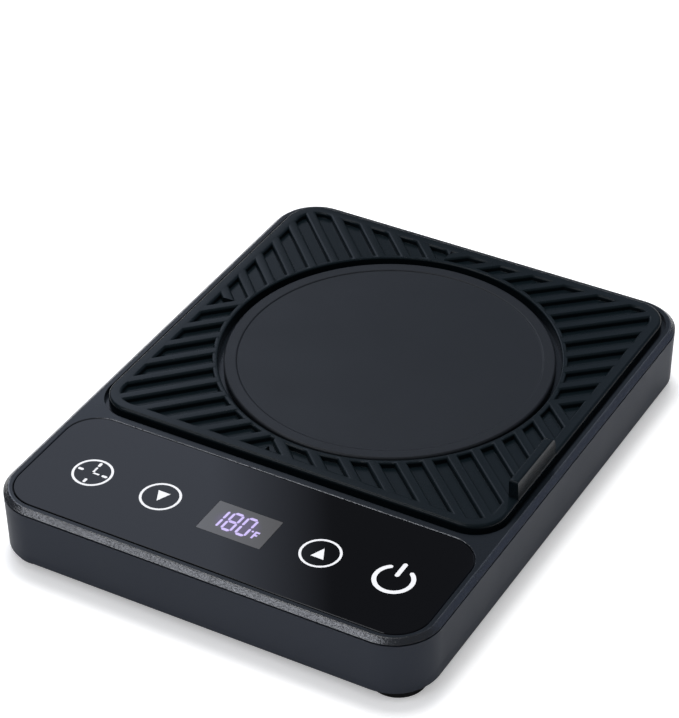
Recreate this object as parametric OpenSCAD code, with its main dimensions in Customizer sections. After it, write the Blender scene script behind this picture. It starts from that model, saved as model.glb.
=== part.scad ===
// Electric mug warmer with a touch panel, a digit display and a lift-out silicone mat.
// Lengths are millimetres. +Z is up, -Y is the front with the touch panel, and the origin
// lies on the table under the middle of the housing.

/* [Housing] */
// Width of the housing, left to right
body_w = 120; // [116:1:132]
// Depth of the housing, front to back
body_d = 155; // [152:1:170]
// Radius of the four upright corners
corner_r = 12.5; // [11:0.5:15]
// Height of the tub's wall, from its underside to the parting line
tub_h = 14.95; // [14.45:0.25:19.95]
// How far the tub's wall leans in at its foot
wall_draft = 0.4; // [0.2:0.1:0.7]
// Radius of the tub's rounded bottom edge
bottom_edge_r = 1.0; // [0.6:0.1:1.4]
// Thickness of the tub's wall
wall_t = 1.9; // [1.8:0.1:2.2]
// Thickness of the tub's floor
floor_t = 1.8; // [1.6:0.1:2.2]
// Height of the shadow gap at the parting line
shadow_gap = 0.3; // [0.2:0.05:0.45]
// Rise of the cover's top face above the parting line
cover_rise = 1.6; // [1.4:0.05:2]
// Width of the bevel round the cover's top face, seen from above
bevel_w = 1.35; // [1:0.05:1.6]
// Thickness of the cover's tray floor
tray_t = 1.6; // [1.4:0.1:2]

/* [Touch panel] */
// Margin between the panel's recess and the housing's sides
panel_side = 2.65; // [2.45:0.05:5]
// Margin between the panel's recess and the housing's front
panel_front = 2.7; // [2.4:0.1:4]
// Depth of the panel's recess, front to back
panel_recess_d = 38.8; // [37:0.2:39.5]
// Corner radius of the panel's recess
panel_r = 9.2; // [7:0.2:9.8]
// Gap round the glass
panel_gap = 0.2; // [0.1:0.05:0.3]
// Thickness of the glass
glass_t = 1.1; // [0.9:0.1:1.3]
// Thickness of the adhesive under the glass
adhesive_t = 0.2; // [0.15:0.05:0.3]
// Distance of the row of touch signs from the housing's front
sign_row = 20.85; // [19.5:0.25:22]
// Distance between the two signs on each side of the display
sign_pitch = 19.75; // [19:0.25:20.5]
// Distance of each pair of signs from the display's middle
sign_pair = 32.35; // [31.5:0.25:33]
// Width of the display window
window_w = 17.9; // [17.5:0.1:19]
// Depth of the display window, front to back
window_d = 11.6; // [11.2:0.1:12.4]
// Corner radius of the display window
window_r = 0.3; // [0.2:0.1:1]

/* [Heating plate] */
// Diameter of the heating plate
plate_d = 86.4; // [82:0.4:88]
// Height of the plate's face above the cover's top face
plate_proud = 0.9; // [0.7:0.1:1.2]
// Thickness of the plate's disc
plate_t = 1.8; // [1.6:0.1:2.2]
// Width of the plate's flange outside its skirt
flange_w = 2.7; // [2.5:0.1:4]
// Thickness of the skirt
skirt_t = 1.8; // [1.5:0.1:2.4]
// Thickness of the heating element
element_t = 0.8; // [0.6:0.1:1]
// Thickness of the insulation pad
pad_t = 2.2; // [2:0.1:2.4]
// Thickness of the clamp plate
clamp_t = 0.8; // [0.6:0.1:1]
// Radius of the circle of three plate screws
plate_screw_circle = 24; // [20:1:27]

/* [Mat] */
// Margin between the mat's tray and the housing's sides and back
tray_margin = 2.5; // [2.2:0.1:4]
// Width of the bar between the panel's recess and the mat's tray
bar_w = 1.9; // [1.5:0.1:3]
// Depth of the tray below the cover's top face
tray_depth = 1.5; // [1.3:0.1:1.6]
// Gap between the mat and the tray's edge
mat_gap = 1.2; // [0.9:0.1:1.5]
// Height of the mat's ribs above the cover's top face
mat_proud = 1.7; // [1.5:0.1:2]
// Thickness of the sheet that joins the ribs
mat_sheet = 1.85; // [1.5:0.05:2.2]
// Width of the mat's outer frame
mat_frame = 3.4; // [3:0.2:4.4]
// Radius that rounds the mat's upper edges
mat_edge_r = 0.9; // [0.6:0.1:1.1]
// Distance between ribs, square to their length
rib_pitch = 6.4; // [5.6:0.2:7.6]
// Width of a rib
rib_w = 3; // [2.6:0.1:3.8]
// Width of the ring that the ribs run into
ring_w = 1.5; // [1.3:0.1:2]
// Gap between the heating plate and the mat's ring
ring_gap = 1.5; // [1:0.1:1.9]
// Length of the pull tab along the mat's right edge
tab_l = 22; // [18:0.5:26]
// Height of the pull tab above the ribs
tab_h = 5; // [4:0.5:7]
// Thickness of the pull tab at its top
tab_t = 1.6; // [1.4:0.1:2.2]
// Distance of the tab's front end from the housing's front
tab_from_front = 59.4; // [56:0.2:64]

/* [Feet] */
// Diameter of a rubber foot
foot_d = 12.5; // [11:0.5:14]
// Height of the housing above the table
foot_stand = 2.75; // [2.25:0.25:4]
// Distance of a foot's centre from the housing's sides
foot_inset = 10; // [9.5:0.5:11]
// Depth of the recess that holds a foot
foot_recess = 0.6; // [0.4:0.1:0.8]

/* [Boards and fasteners] */
// Thickness of the touch board
touch_board_t = 1.2; // [1:0.1:1.6]
// Free height between the touch board and the glass
spring_h = 5.2; // [5:0.1:5.4]
// Thickness of the power board
power_board_t = 1.6; // [1.2:0.1:1.6]
// Height of the posts under the power board
power_post_h = 1.8; // [1.6:0.1:2.2]
// Radius of a housing screw's shank
screw_r = 1.45; // [1.3:0.05:1.6]
// Radius of a board screw's shank
board_screw_r = 1.0; // [0.9:0.05:1.2]
// Radius of the cord passage through the gland
cord_r = 3.1; // [2.6:0.1:3.3]

/* [Hidden] */
$fn = 64;
// Overlap that makes a cut run clean through a face
cut = 1;

// Levels, counted from the table
wall_z = foot_stand;
floor_z = wall_z + floor_t;
parting_z = wall_z + tub_h;
top_z = parting_z + cover_rise;
tray_z = top_z - tray_depth;
cover_z = tray_z - tray_t;
panel_z = top_z - glass_t - adhesive_t;
glass_z = top_z - glass_t;
touch_top_z = glass_z - spring_h;
touch_z = touch_top_z - touch_board_t;
power_z = floor_z + power_post_h;
power_top_z = power_z + power_board_t;
plate_z = top_z + plate_proud;
web_z = plate_z - plate_t;
plate_low_z = web_z - element_t - pad_t;
clamp_rim_h = 0.8;
clamp_low_z = plate_low_z - clamp_t - clamp_rim_h;

// Plan positions
front_y = -body_d / 2;
back_y = body_d / 2;
sign_y = front_y + sign_row;
// The printed row sits a little to the right of the housing's middle line
sign_x = 0.6;
signs_x = [for (side = [-1, 1], step = [-0.5, 0.5]) sign_x + side * sign_pair + step * sign_pitch];
panel_recess_w = body_w - 2 * panel_side;
panel_y = front_y + panel_front + panel_recess_d / 2;
tray_w = body_w - 2 * tray_margin;
tray_d = body_d - panel_front - panel_recess_d - bar_w - tray_margin;
tray_y = back_y - tray_margin - tray_d / 2;
tray_r = corner_r - tray_margin;

// Heating plate's radii, from its edge inwards
plate_r = plate_d / 2;
skirt_r = plate_r - flange_w;
cavity_r = skirt_r - skirt_t;

// Housing joint: the cover's tongue stands inside the tub's lip
lip_t = wall_t / 2;
tongue_gap = 0.1;

// Housing screws stand on the feet's axes
column_x = body_w / 2 - foot_inset;
column_y = body_d / 2 - foot_inset;
column_r = 4.4;
column_top_z = (floor_z + cover_z) / 2;
screw_head_r = 2.75;
screw_head_h = 2;
screw_seat_z = floor_z + screw_head_h;
fit_gap = 0.25;
pilot_gap = 0.05;
boss_r = 3.6;
board_head_r = 1.9;
board_head_h = 1.3;

module rounded_rect(w, d, r) {
    square([w - 2 * r, d], center = true);
    square([w, d - 2 * r], center = true);
    for (x = [-1, 1], y = [-1, 1])
        translate([x * (w / 2 - r), y * (d / 2 - r)])
            circle(r);
}

module slab(w, d, r, h) {
    linear_extrude(h)
        rounded_rect(w, d, r);
}

// A rounded block whose side follows an outline of [inset, height] points, bottom to top
module moulded_block(w, d, r, outline) {
    low = outline[0][1];
    high = outline[len(outline) - 1][1];
    for (x = [-1, 1], y = [-1, 1])
        translate([x * (w / 2 - r), y * (d / 2 - r), 0])
            rotate_extrude()
                polygon(concat([[0, low]], [for (p = outline) [r - p[0], p[1]]], [[0, high]]));
    rotate([90, 0, 0])
        linear_extrude(d - 2 * r, center = true)
            block_section(w / 2, outline);
    rotate([90, 0, 90])
        linear_extrude(w - 2 * r, center = true)
            block_section(d / 2, outline);
}

module block_section(half, outline) {
    last = len(outline) - 1;
    polygon(concat([for (p = outline) [half - p[0], p[1]]],
        [for (i = [last:-1:0]) [outline[i][0] - half, outline[i][1]]]));
}

module at_corners(x, y) {
    for (i = [-1, 1], j = [-1, 1])
        translate([i * x, j * y, 0])
            children();
}

module ring(outer_r, inner_r, h) {
    difference() {
        cylinder(r = outer_r, h = h);
        translate([0, 0, -cut])
            cylinder(r = inner_r, h = h + 2 * cut);
    }
}

// A pan-head screw: the head's seat is at z = 0, the shank points up
module pan_screw(shank_r, length, head_r, head_h) {
    difference() {
        rotate_extrude()
            polygon([[0, -head_h], [head_r * 0.7, -head_h], [head_r, -head_h * 0.6], [head_r, 0],
                [shank_r, 0], [shank_r, length - shank_r], [0, length]]);
        for (a = [0, 90])
            rotate(a)
                translate([0, 0, -head_h])
                    cube([head_r * 1.2, head_r * 0.28, head_h * 0.8], center = true);
    }
}

function unit(v) = v / norm(v);

function spline_point(a, b, c, d, t) =
    0.5 * (2 * b + (c - a) * t + (2 * a - 5 * b + 4 * c - d) * t * t
        + (3 * b - a - 3 * c + d) * t * t * t);

// A smooth path through the given points, with the given number of steps between each two
function smooth_path(p, steps) =
    concat([for (i = [0:len(p) - 2], k = [0:steps - 1])
        spline_point(p[max(i - 1, 0)], p[i], p[i + 1], p[min(i + 2, len(p) - 1)], k / steps)],
        [p[len(p) - 1]]);

// A round wire along a path
module wire(path, r, sides = 8) {
    last = len(path) - 1;
    along = [for (i = [0:last]) unit(path[min(i + 1, last)] - path[max(i - 1, 0)])];
    first_side = unit(cross(along[0], abs(along[0][2]) < 0.8 ? [0, 0, 1] : [1, 0, 0]));
    across = [for (i = 0, s = first_side; i <= last;
        i = i + 1, s = unit(s - (s * along[min(i, last)]) * along[min(i, last)])) s];
    points = [for (i = [0:last], k = [0:sides - 1])
        path[i] + r * (cos(360 * k / sides) * across[i]
            + sin(360 * k / sides) * cross(along[i], across[i]))];
    walls = [for (i = [0:last - 1], k = [0:sides - 1])
        let (a = i * sides + k, b = i * sides + (k + 1) % sides)
            each [[a, a + sides, b], [b, a + sides, b + sides]]];
    polyhedron(points, concat([[for (k = [0:sides - 1]) k]], walls,
        [[for (k = [sides - 1:-1:0]) last * sides + k]]));
}

// Lower tub: moulded ABS, with the wall, the screw columns, the board posts and the cord guides
tub_outline = concat(
    [for (i = [0:3]) let (a = 90 * i / 4)
        [wall_draft + bottom_edge_r * (1 - sin(a)), wall_z + bottom_edge_r * (1 - cos(a))]],
    [[wall_draft, wall_z + bottom_edge_r], [0, parting_z]]);
power_post_r = 3.2;
clamp_post_x = 9;
cord_z = (floor_z + cover_z) / 2;
gland_collar_r = 5.5;
gland_neck_r = 4.3;
dish_depth = 1.0;
gland_boss_t = 1.3;
gland_inner_l = 3;
clamp_bar_w = 5;
cord_clamp_y = back_y - wall_t - gland_boss_t - gland_inner_l - clamp_bar_w / 2 - 0.6;
saddle_h = 0.8;
cord_grip = 0.4;
cord_clamp_z = floor_z + saddle_h + 2 * cord_r - cord_grip;
saddle_w = 8;
saddle_t = 2;
vent_w = 2;
vent_l = 15;
vent_pitch = 5.5;

module lower_tub() {
    color("#2f3236")
    difference() {
        union() {
            tub_shell();
            at_corners(column_x, column_y)
                translate([0, 0, wall_z + floor_t / 2])
                    cylinder(r = column_r, h = column_top_z - wall_z - floor_t / 2);
            at_power_posts()
                translate([0, 0, wall_z + floor_t / 2])
                    cylinder(r = power_post_r, h = power_z - wall_z - floor_t / 2);
            cord_guides();
        }
        at_corners(column_x, column_y) {
            translate([0, 0, wall_z - cut])
                cylinder(d = foot_d + 2 * fit_gap, h = foot_recess + cut);
            translate([0, 0, wall_z - cut])
                cylinder(r = screw_head_r + fit_gap, h = screw_seat_z - wall_z + cut);
            translate([0, 0, wall_z])
                cylinder(r = screw_r + fit_gap, h = column_top_z);
        }
        at_power_posts()
            translate([0, 0, wall_z + floor_t / 2])
                cylinder(r = board_screw_r + pilot_gap, h = tub_h);
        for (x = [-1, 1])
            translate([x * clamp_post_x, cord_clamp_y, floor_z])
                cylinder(r = board_screw_r + pilot_gap, h = tub_h);
        translate([0, back_y - dish_depth, cord_z])
            rotate([-90, 0, 0])
                cylinder(r = gland_collar_r + fit_gap, h = dish_depth + cut);
        translate([0, back_y + cut, cord_z])
            rotate([90, 0, 0])
                cylinder(r = gland_neck_r + pilot_gap, h = wall_t + gland_boss_t + 2 * cut);
        vent_slots();
    }
}

module tub_shell() {
    difference() {
        moulded_block(body_w, body_d, corner_r, tub_outline);
        translate([0, 0, floor_z])
            slab(body_w - 2 * wall_t, body_d - 2 * wall_t, corner_r - wall_t, tub_h);
        translate([0, 0, cover_z])
            slab(body_w - 2 * lip_t, body_d - 2 * lip_t, corner_r - lip_t, tub_h);
    }
}

// A boss inside the back wall, two clamp posts and a saddle that carries the cord
module cord_guides() {
    boss_w = 2 * gland_collar_r + 3;
    translate([-boss_w / 2, back_y - wall_t - gland_boss_t, wall_z + floor_t / 2])
        cube([boss_w, wall_t / 2 + gland_boss_t, cover_z - fit_gap - wall_z - floor_t / 2]);
    for (x = [-1, 1])
        translate([x * clamp_post_x, cord_clamp_y, wall_z + floor_t / 2])
            cylinder(r = 3, h = cord_clamp_z - wall_z - floor_t / 2);
    translate([-saddle_w / 2, cord_clamp_y - saddle_t / 2, wall_z + floor_t / 2])
        cube([saddle_w, saddle_t, floor_t / 2 + saddle_h]);
}

module vent_slots() {
    for (row = [-1, 1], i = [-3:3])
        translate([i * vent_pitch, tray_y + row * (vent_l + 4) / 2, wall_z - cut])
            linear_extrude(floor_t + 2 * cut) {
                square([vent_w, vent_l - vent_w], center = true);
                for (end = [-1, 1])
                    translate([0, end * (vent_l - vent_w) / 2])
                        circle(vent_w / 2, $fn = 24);
            }
}

// Top cover: moulded ABS with a spark-textured face, the panel's recess and the mat's tray
cover_outline = [[0, parting_z + shadow_gap], [bevel_w - 0.2, top_z - 0.12], [bevel_w, top_z]];
window_hole_r = skirt_r + 0.7;
collar_t = 2;
collar_z = plate_low_z;
touch_post_x = 31.5;
touch_post_ys = [sign_y - 6.9, sign_y + 10.6];
touch_post_r = 2.6;
spring_hole_r = 5;

module top_cover() {
    color("#26282b")
    difference() {
        union() {
            moulded_block(body_w, body_d, corner_r, cover_outline);
            translate([0, 0, cover_z])
                slab(tongue_w, body_d - body_w + tongue_w, corner_r - lip_t - tongue_gap,
                    parting_z + shadow_gap - cover_z);
            at_corners(column_x, column_y)
                translate([0, 0, column_top_z])
                    cylinder(r = boss_r, h = cover_z - column_top_z + tray_t / 2);
            at_touch_posts()
                translate([0, 0, touch_top_z])
                    cylinder(r = touch_post_r, h = cover_z - touch_top_z + tray_t / 2);
            translate([0, tray_y, collar_z])
                cylinder(r = window_hole_r + collar_t, h = cover_z - collar_z + tray_t / 2);
        }
        translate([0, panel_y, panel_z])
            slab(panel_recess_w, panel_recess_d, panel_r, top_z);
        translate([0, tray_y, tray_z])
            slab(tray_w, tray_d, tray_r, top_z);
        translate([0, tray_y, collar_z - cut])
            cylinder(r = window_hole_r, h = top_z);
        translate([sign_x, sign_y, cover_z - cut])
            slab(window_w + 0.8, window_d + 0.8, window_r + 0.4, tub_h);
        for (x = signs_x)
            translate([x, sign_y, cover_z - cut])
                cylinder(r = spring_hole_r, h = tub_h);
        at_corners(column_x, column_y)
            translate([0, 0, column_top_z - cut])
                cylinder(r = screw_r + pilot_gap, h = cover_z - column_top_z + cut + 0.4);
        at_touch_posts()
            translate([0, 0, touch_top_z - cut])
                cylinder(r = board_screw_r + pilot_gap, h = cover_z - touch_top_z + cut + 0.4);
    }
}

tongue_w = body_w - 2 * (lip_t + tongue_gap);

module at_touch_posts() {
    for (x = [-1, 1], y = touch_post_ys)
        translate([x * touch_post_x, y, 0])
            children();
}

// Touch panel: black glass with a clear edge, stuck into the cover's recess
glass_w = panel_recess_w - 2 * panel_gap;
glass_d = panel_recess_d - 2 * panel_gap;
glass_edge = 0.15;
window_gap = 0.06;

module panel_glass() {
    color("#0b0c0e")
    difference() {
        translate([0, panel_y, 0])
            moulded_block(glass_w, glass_d, panel_r - panel_gap,
                [[0, glass_z], [0, top_z - glass_edge], [glass_edge, top_z]]);
        translate([sign_x, sign_y, glass_z - cut])
            slab(window_w, window_d, window_r, glass_t + 2 * cut);
    }
}

module panel_adhesive() {
    color("#3a3a3c")
    difference() {
        translate([0, panel_y, panel_z])
            slab(glass_w - 1, glass_d - 1, panel_r - 1, adhesive_t);
        translate([sign_x, sign_y, panel_z - cut])
            slab(window_w + 0.8, window_d + 0.8, window_r + 0.4, adhesive_t + 2 * cut);
        for (x = signs_x)
            translate([x, sign_y, panel_z - cut])
                cylinder(r = spring_hole_r, h = adhesive_t + 2 * cut);
    }
}

module display_window() {
    color("#5d5f63")
    translate([sign_x, sign_y, glass_z])
        slab(window_w - 2 * window_gap, window_d - 2 * window_gap, window_r - window_gap, glass_t);
}

// Display: a three-digit block of seven-segment lamps on the touch board
digit_h = 8.2;
digit_w = 4.0;
digit_pitch = 5.2;
segment_w = 0.75;
digit_slant = 6;

module segment(length) {
    polygon([[-length / 2, 0], [-length / 2 + segment_w / 2, segment_w / 2],
        [length / 2 - segment_w / 2, segment_w / 2], [length / 2, 0],
        [length / 2 - segment_w / 2, -segment_w / 2], [-length / 2 + segment_w / 2, -segment_w / 2]]);
}

module digit() {
    level = (digit_h - segment_w) / 2;
    for (y = [-level, 0, level])
        translate([y * tan(digit_slant), y])
            segment(digit_w - segment_w - 0.2);
    for (x = [-1, 1], y = [-level / 2, level / 2])
        translate([x * (digit_w - segment_w) / 2 + y * tan(digit_slant), y])
            rotate(90 - digit_slant)
                segment(level - 0.2);
}

module display_module() {
    color("#c9cacc")
    difference() {
        translate([sign_x, sign_y, touch_top_z])
            slab(window_w, window_d, window_r, spring_h - 0.2);
        for (i = [-1, 0, 1])
            translate([sign_x - 1.6 + i * digit_pitch, sign_y, glass_z - 0.4])
                linear_extrude(1)
                    digit();
    }
}

// Touch springs: one coil of steel wire under each sign
spring_r = 3.5;
spring_wire_r = 0.35;
spring_turns = 4;
spring_steps = 12;

module touch_springs() {
    color("#b8bbc0")
    for (x = signs_x)
        translate([x, sign_y, touch_top_z + spring_wire_r])
            wire([for (i = [0:spring_turns * spring_steps])
                let (a = 360 * i / spring_steps, part = i / (spring_turns * spring_steps))
                    [spring_r * cos(a), spring_r * sin(a), part * (spring_h - 2 * spring_wire_r)]],
                spring_wire_r, 6);
}

// Touch board: glass-fibre board under the panel, with its front corners cut back for the columns
touch_board_w = body_w - 25;
touch_board_front = 9.8;
touch_board_back = 14.6;
touch_board_notch = [6, 5];

module touch_board() {
    half = touch_board_w / 2;
    color("#1f5a3a")
    difference() {
        translate([0, sign_y, touch_z])
            linear_extrude(touch_board_t)
                polygon([[-half + touch_board_notch[0], -touch_board_front],
                    [half - touch_board_notch[0], -touch_board_front],
                    [half - touch_board_notch[0], touch_board_notch[1] - touch_board_front],
                    [half, touch_board_notch[1] - touch_board_front], [half, touch_board_back],
                    [-half, touch_board_back], [-half, touch_board_notch[1] - touch_board_front],
                    [-half + touch_board_notch[0], touch_board_notch[1] - touch_board_front]]);
        at_touch_posts()
            translate([0, 0, touch_z - cut])
                cylinder(r = board_screw_r + fit_gap, h = touch_board_t + 2 * cut);
    }
}

module touch_board_screws() {
    color("#9a9da1")
    at_touch_posts()
        translate([0, 0, touch_z])
            pan_screw(board_screw_r, touch_board_t + cover_z - touch_top_z, board_head_r, board_head_h);
}

chip_t = 1.4;
chip_w = 4;

module chip(l, w, legs) {
    translate([0, 0, chip_t / 2])
        cube([l, w, chip_t], center = true);
    for (side = [-1, 1], i = [0:legs - 1])
        translate([(i - (legs - 1) / 2) * 1.27, side * (w / 2 + 0.5), chip_t / 4])
            cube([0.45, 1.2, chip_t / 2], center = true);
}

module touch_board_chips() {
    color("#151617")
    translate([0, sign_y, touch_z])
        mirror([0, 0, 1]) {
            translate([-18, 3, 0])
                chip(10, chip_w, 8);
            translate([18, -1, 0])
                chip(5, chip_w, 4);
        }
}

module buzzer() {
    color("#111111")
    translate([sign_x + 12, sign_y + 9.8, touch_top_z])
        difference() {
            cylinder(r = 4.4, h = cover_z - touch_top_z - fit_gap);
            translate([0, 0, cover_z - touch_top_z - 1])
                cylinder(r = 0.8, h = 2);
        }
}

// Flat cable that joins the two boards, and its two sockets
ribbon_x = -20;
ribbon_w = 8;
ribbon_t = 0.4;
ribbon_socket_d = 3;
upper_socket_y = sign_y + touch_board_back - ribbon_socket_d - 0.4;
upper_socket_h = 2.2;
lower_socket_h = 1.7;
ribbon_z = touch_z - upper_socket_h / 2;
ribbon_bend_r = ribbon_z - power_top_z - lower_socket_h;
ribbon_drop_y = upper_socket_y + ribbon_socket_d + 2.4;

module ribbon_cable() {
    bend = [for (a = [0:15:90]) [sin(a), cos(a)]];
    outer = ribbon_bend_r;
    inner = ribbon_bend_r - ribbon_t;
    start_y = upper_socket_y + ribbon_socket_d;
    centre = [ribbon_drop_y - outer, ribbon_z - outer];
    color("#d8d9da")
    translate([ribbon_x - ribbon_w / 2, 0, 0])
        rotate([90, 0, 90])
            linear_extrude(ribbon_w)
                polygon(concat([[start_y, ribbon_z]], [for (b = bend) centre + outer * b],
                    [for (i = [len(bend) - 1:-1:0]) centre + inner * bend[i]],
                    [[start_y, ribbon_z - ribbon_t]]));
}

module ribbon_sockets() {
    color("#e6e4dc") {
        translate([ribbon_x - ribbon_w / 2 - 1, upper_socket_y, touch_z - upper_socket_h])
            cube([ribbon_w + 2, ribbon_socket_d, upper_socket_h]);
        translate([ribbon_x - ribbon_w / 2 - 1, ribbon_drop_y - ribbon_socket_d / 2 - ribbon_t / 2,
            power_top_z])
            cube([ribbon_w + 2, ribbon_socket_d, lower_socket_h]);
    }
}

// Power board: it lies on the tub's posts, with its tall parts in a row behind the touch board
power_board_margin = 14;
power_board_w = body_w - 2 * power_board_margin;
power_board_d = 39.5;
power_from_front = 15.5;
power_front_y = front_y + power_from_front;
power_post_inset = 4;
row_from_back = 10.4;
row_y = power_front_y + power_board_d - row_from_back;
row_inset = 4.3;
row_clearance = 0.3;
tall_h = clamp_low_z - power_top_z - row_clearance;

module at_power_posts() {
    for (x = [-1, 1], y = [power_post_inset, power_board_d - power_post_inset])
        translate([x * (power_board_w / 2 - power_post_inset), power_front_y + y, 0])
            children();
}

module power_board() {
    color("#24613f")
    difference() {
        translate([-power_board_w / 2, power_front_y, power_z])
            cube([power_board_w, power_board_d, power_board_t]);
        at_power_posts()
            translate([0, 0, power_z - cut])
                cylinder(r = board_screw_r + fit_gap, h = power_board_t + 2 * cut);
    }
}

module power_board_screws() {
    color("#9a9da1")
    at_power_posts()
        translate([0, 0, power_top_z])
            mirror([0, 0, 1])
                pan_screw(board_screw_r, power_board_t + power_post_h + floor_t / 3,
                    board_head_r, board_head_h);
}

// The row from left to right, spread evenly over the board: each part's width, then its middle
terminal_w = 10;
fuse_r = 4.1;
film_w = 13;
mains_can_r = tall_h / 2;
core_w = 12;
output_can_r = 2.4;
sink_w = 11.6;
row_widths = [terminal_w, 2 * fuse_r, film_w, 2 * mains_can_r, core_w, 2 * output_can_r, sink_w];
function total(list, count) = count == 0 ? 0 : list[count - 1] + total(list, count - 1);
row_gap = (power_board_w - 2 * row_inset - total(row_widths, 7)) / 6;
row_xs = [for (i = [0:6]) row_inset - power_board_w / 2 + total(row_widths, i) + i * row_gap
    + row_widths[i] / 2];

// Mains terminal: nylon block with a clamping screw and a wire opening for each pole
terminal_d = 8.5;
terminal_pitch = 4.6;
terminal_screw_r = 1.5;
terminal_screw_depth = 1.4;
terminal_wire_r = 1.2;

module mains_terminal() {
    color("#2e7d4f")
    translate([row_xs[0], row_y, power_top_z])
        difference() {
            translate([-terminal_w / 2, -terminal_d / 2, 0])
                cube([terminal_w, terminal_d, tall_h]);
            for (x = [-0.5, 0.5]) {
                translate([x * terminal_pitch, 0, tall_h - terminal_screw_depth])
                    cylinder(r = terminal_screw_r, h = terminal_screw_depth + cut);
                translate([x * terminal_pitch, 0, tall_h / 2])
                    rotate([-90, 0, 0])
                        cylinder(r = terminal_wire_r, h = terminal_d);
            }
        }
}

module fuse() {
    color("#7a3b2e")
    translate([row_xs[1], row_y, power_top_z])
        cylinder(r = fuse_r, h = tall_h);
}

// Film capacitor behind, varistor in front of it
film_d = 6;
varistor_t = 3.2;

module film_capacitor() {
    color("#c9a227")
    translate([row_xs[2], row_y + film_d / 2, power_top_z])
        slab(film_w, film_d, 0.6, tall_h);
}

module varistor() {
    color("#2b6cb0")
    translate([row_xs[2], row_y - varistor_t, power_top_z + tall_h / 2])
        rotate([90, 0, 0])
            cylinder(r = tall_h / 2, h = varistor_t, center = true);
}

// Capacitors: rolled cans that lie on the board, each with a bead near its sealed end
can_edge = 0.4;
can_bead = 0.4;

module lying_can(r, l) {
    translate([0, -l / 2, r])
        rotate([-90, 0, 0])
            rotate_extrude()
                polygon([[0, can_edge], [r - 2 * can_edge, can_edge], [r - can_edge, 0], [r, can_edge],
                    [r, l - 4 * can_bead], [r - can_bead, l - 3 * can_bead], [r, l - 2 * can_bead],
                    [r, l - can_edge], [r - can_edge, l], [0, l]]);
}

mains_can_l = 13;
output_can_l = 10;

module mains_capacitor() {
    color("#22243a")
    translate([row_xs[3], row_y, power_top_z])
        lying_can(mains_can_r, mains_can_l);
}

module output_capacitor() {
    color("#2a4a6a")
    translate([row_xs[5], row_y, power_top_z])
        lying_can(output_can_r, output_can_l);
}

// Transformer: a ferrite frame with its winding through the window
core_d = 12;
core_limb = 1.2;
core_leg = 2.2;
winding_gap = 0.15;
winding_end = 1.2;

module transformer_core() {
    color("#3b3c3f")
    translate([row_xs[4] - core_w / 2, row_y - core_d / 2, power_top_z])
        difference() {
            cube([core_w, core_d, tall_h]);
            translate([core_leg, -cut, core_limb])
                cube([core_w - 2 * core_leg, core_d + 2 * cut, tall_h - 2 * core_limb]);
        }
}

module transformer_winding() {
    inner_w = core_w - 2 * core_leg - 2 * winding_gap;
    inner_h = tall_h - 2 * core_limb - 2 * winding_gap;
    color("#d9a520")
    translate([row_xs[4], row_y, power_top_z]) {
        translate([-inner_w / 2, -core_d / 2 - winding_end / 2, core_limb + winding_gap])
            cube([inner_w, core_d + winding_end, inner_h]);
        for (side = [-1, 1])
            translate([-core_w / 2, side * (core_d / 2 + winding_gap + winding_end / 2)
                - winding_end / 2, 0])
                cube([core_w, winding_end, tall_h - core_limb]);
    }
}

// Heat sink: a bent trough with the triac screwed flat inside it, clear of the board's screw
sink_d = 11.5;
sink_back_y = row_y + 3.5;
sink_t = 1.2;
triac_w = 8;
triac_d = 8;
triac_t = 3.4;
triac_leg = 0.7;
triac_leg_l = 2.6;
triac_pitch = 2.2;

module triac_heat_sink() {
    color("#b7babd")
    translate([row_xs[6] - sink_w / 2, sink_back_y - sink_d, power_top_z]) {
        cube([sink_w, sink_d, sink_t]);
        for (x = [0, sink_w - sink_t])
            translate([x, 0, 0])
                cube([sink_t, sink_d, tall_h]);
    }
}

module triac() {
    color("#161718")
    translate([row_xs[6], sink_back_y - sink_d + 1, power_top_z + sink_t])
        difference() {
            union() {
                translate([-triac_w / 2, 0, 0])
                    cube([triac_w, triac_d, triac_t]);
                for (i = [-1, 0, 1])
                    translate([i * triac_pitch - triac_leg / 2, triac_d, triac_t / 3])
                        cube([triac_leg, triac_leg_l, triac_leg]);
            }
            translate([-triac_w / 2 - cut, -cut, triac_t * 0.7])
                cube([triac_w + 2 * cut, cut + triac_d / 4, triac_t]);
        }
}

// Low chips stand on the front half of the board, under the touch board
module power_board_chips() {
    color("#151617")
    for (p = [[-30, 9, 8], [-8, 10, 5], [12, 8, 5], [30, 10, 8]])
        translate([p[0], power_front_y + p[1], power_top_z])
            chip(p[2], chip_w, p[2] == 8 ? 6 : 4);
}

// Heating plate: cast aluminium with a dark hard coat, clamped into the cover's window
seal_t = 0.8;
flange_z = tray_z + seal_t;
plate_edge = 0.5;
plate_boss_r = 3;
plate_hole_r = screw_r + pilot_gap;
rim_w = 3.2;
rim_h = 0.25;

module at_plate_screws() {
    for (a = [90, 210, 330])
        translate([plate_screw_circle * cos(a), tray_y + plate_screw_circle * sin(a), 0])
            children();
}

module heating_plate() {
    color("#1b1c1e")
    difference() {
        union() {
            translate([0, tray_y, 0])
                rotate_extrude()
                    polygon([[0, web_z], [cavity_r, web_z], [cavity_r, plate_low_z],
                        [skirt_r, plate_low_z], [skirt_r, flange_z], [plate_r, flange_z],
                        [plate_r, plate_z - plate_edge], [plate_r - plate_edge * 0.3, plate_z - plate_edge * 0.3],
                        [plate_r - plate_edge, plate_z], [plate_r - rim_w, plate_z],
                        [plate_r - rim_w - rim_h, plate_z - rim_h], [0, plate_z - rim_h]]);
            at_plate_screws()
                translate([0, 0, plate_low_z])
                    cylinder(r = plate_boss_r, h = web_z - plate_low_z + rim_h);
        }
        at_plate_screws()
            translate([0, 0, plate_low_z - cut])
                cylinder(r = plate_hole_r, h = web_z - plate_low_z + cut + 0.5);
    }
}

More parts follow.
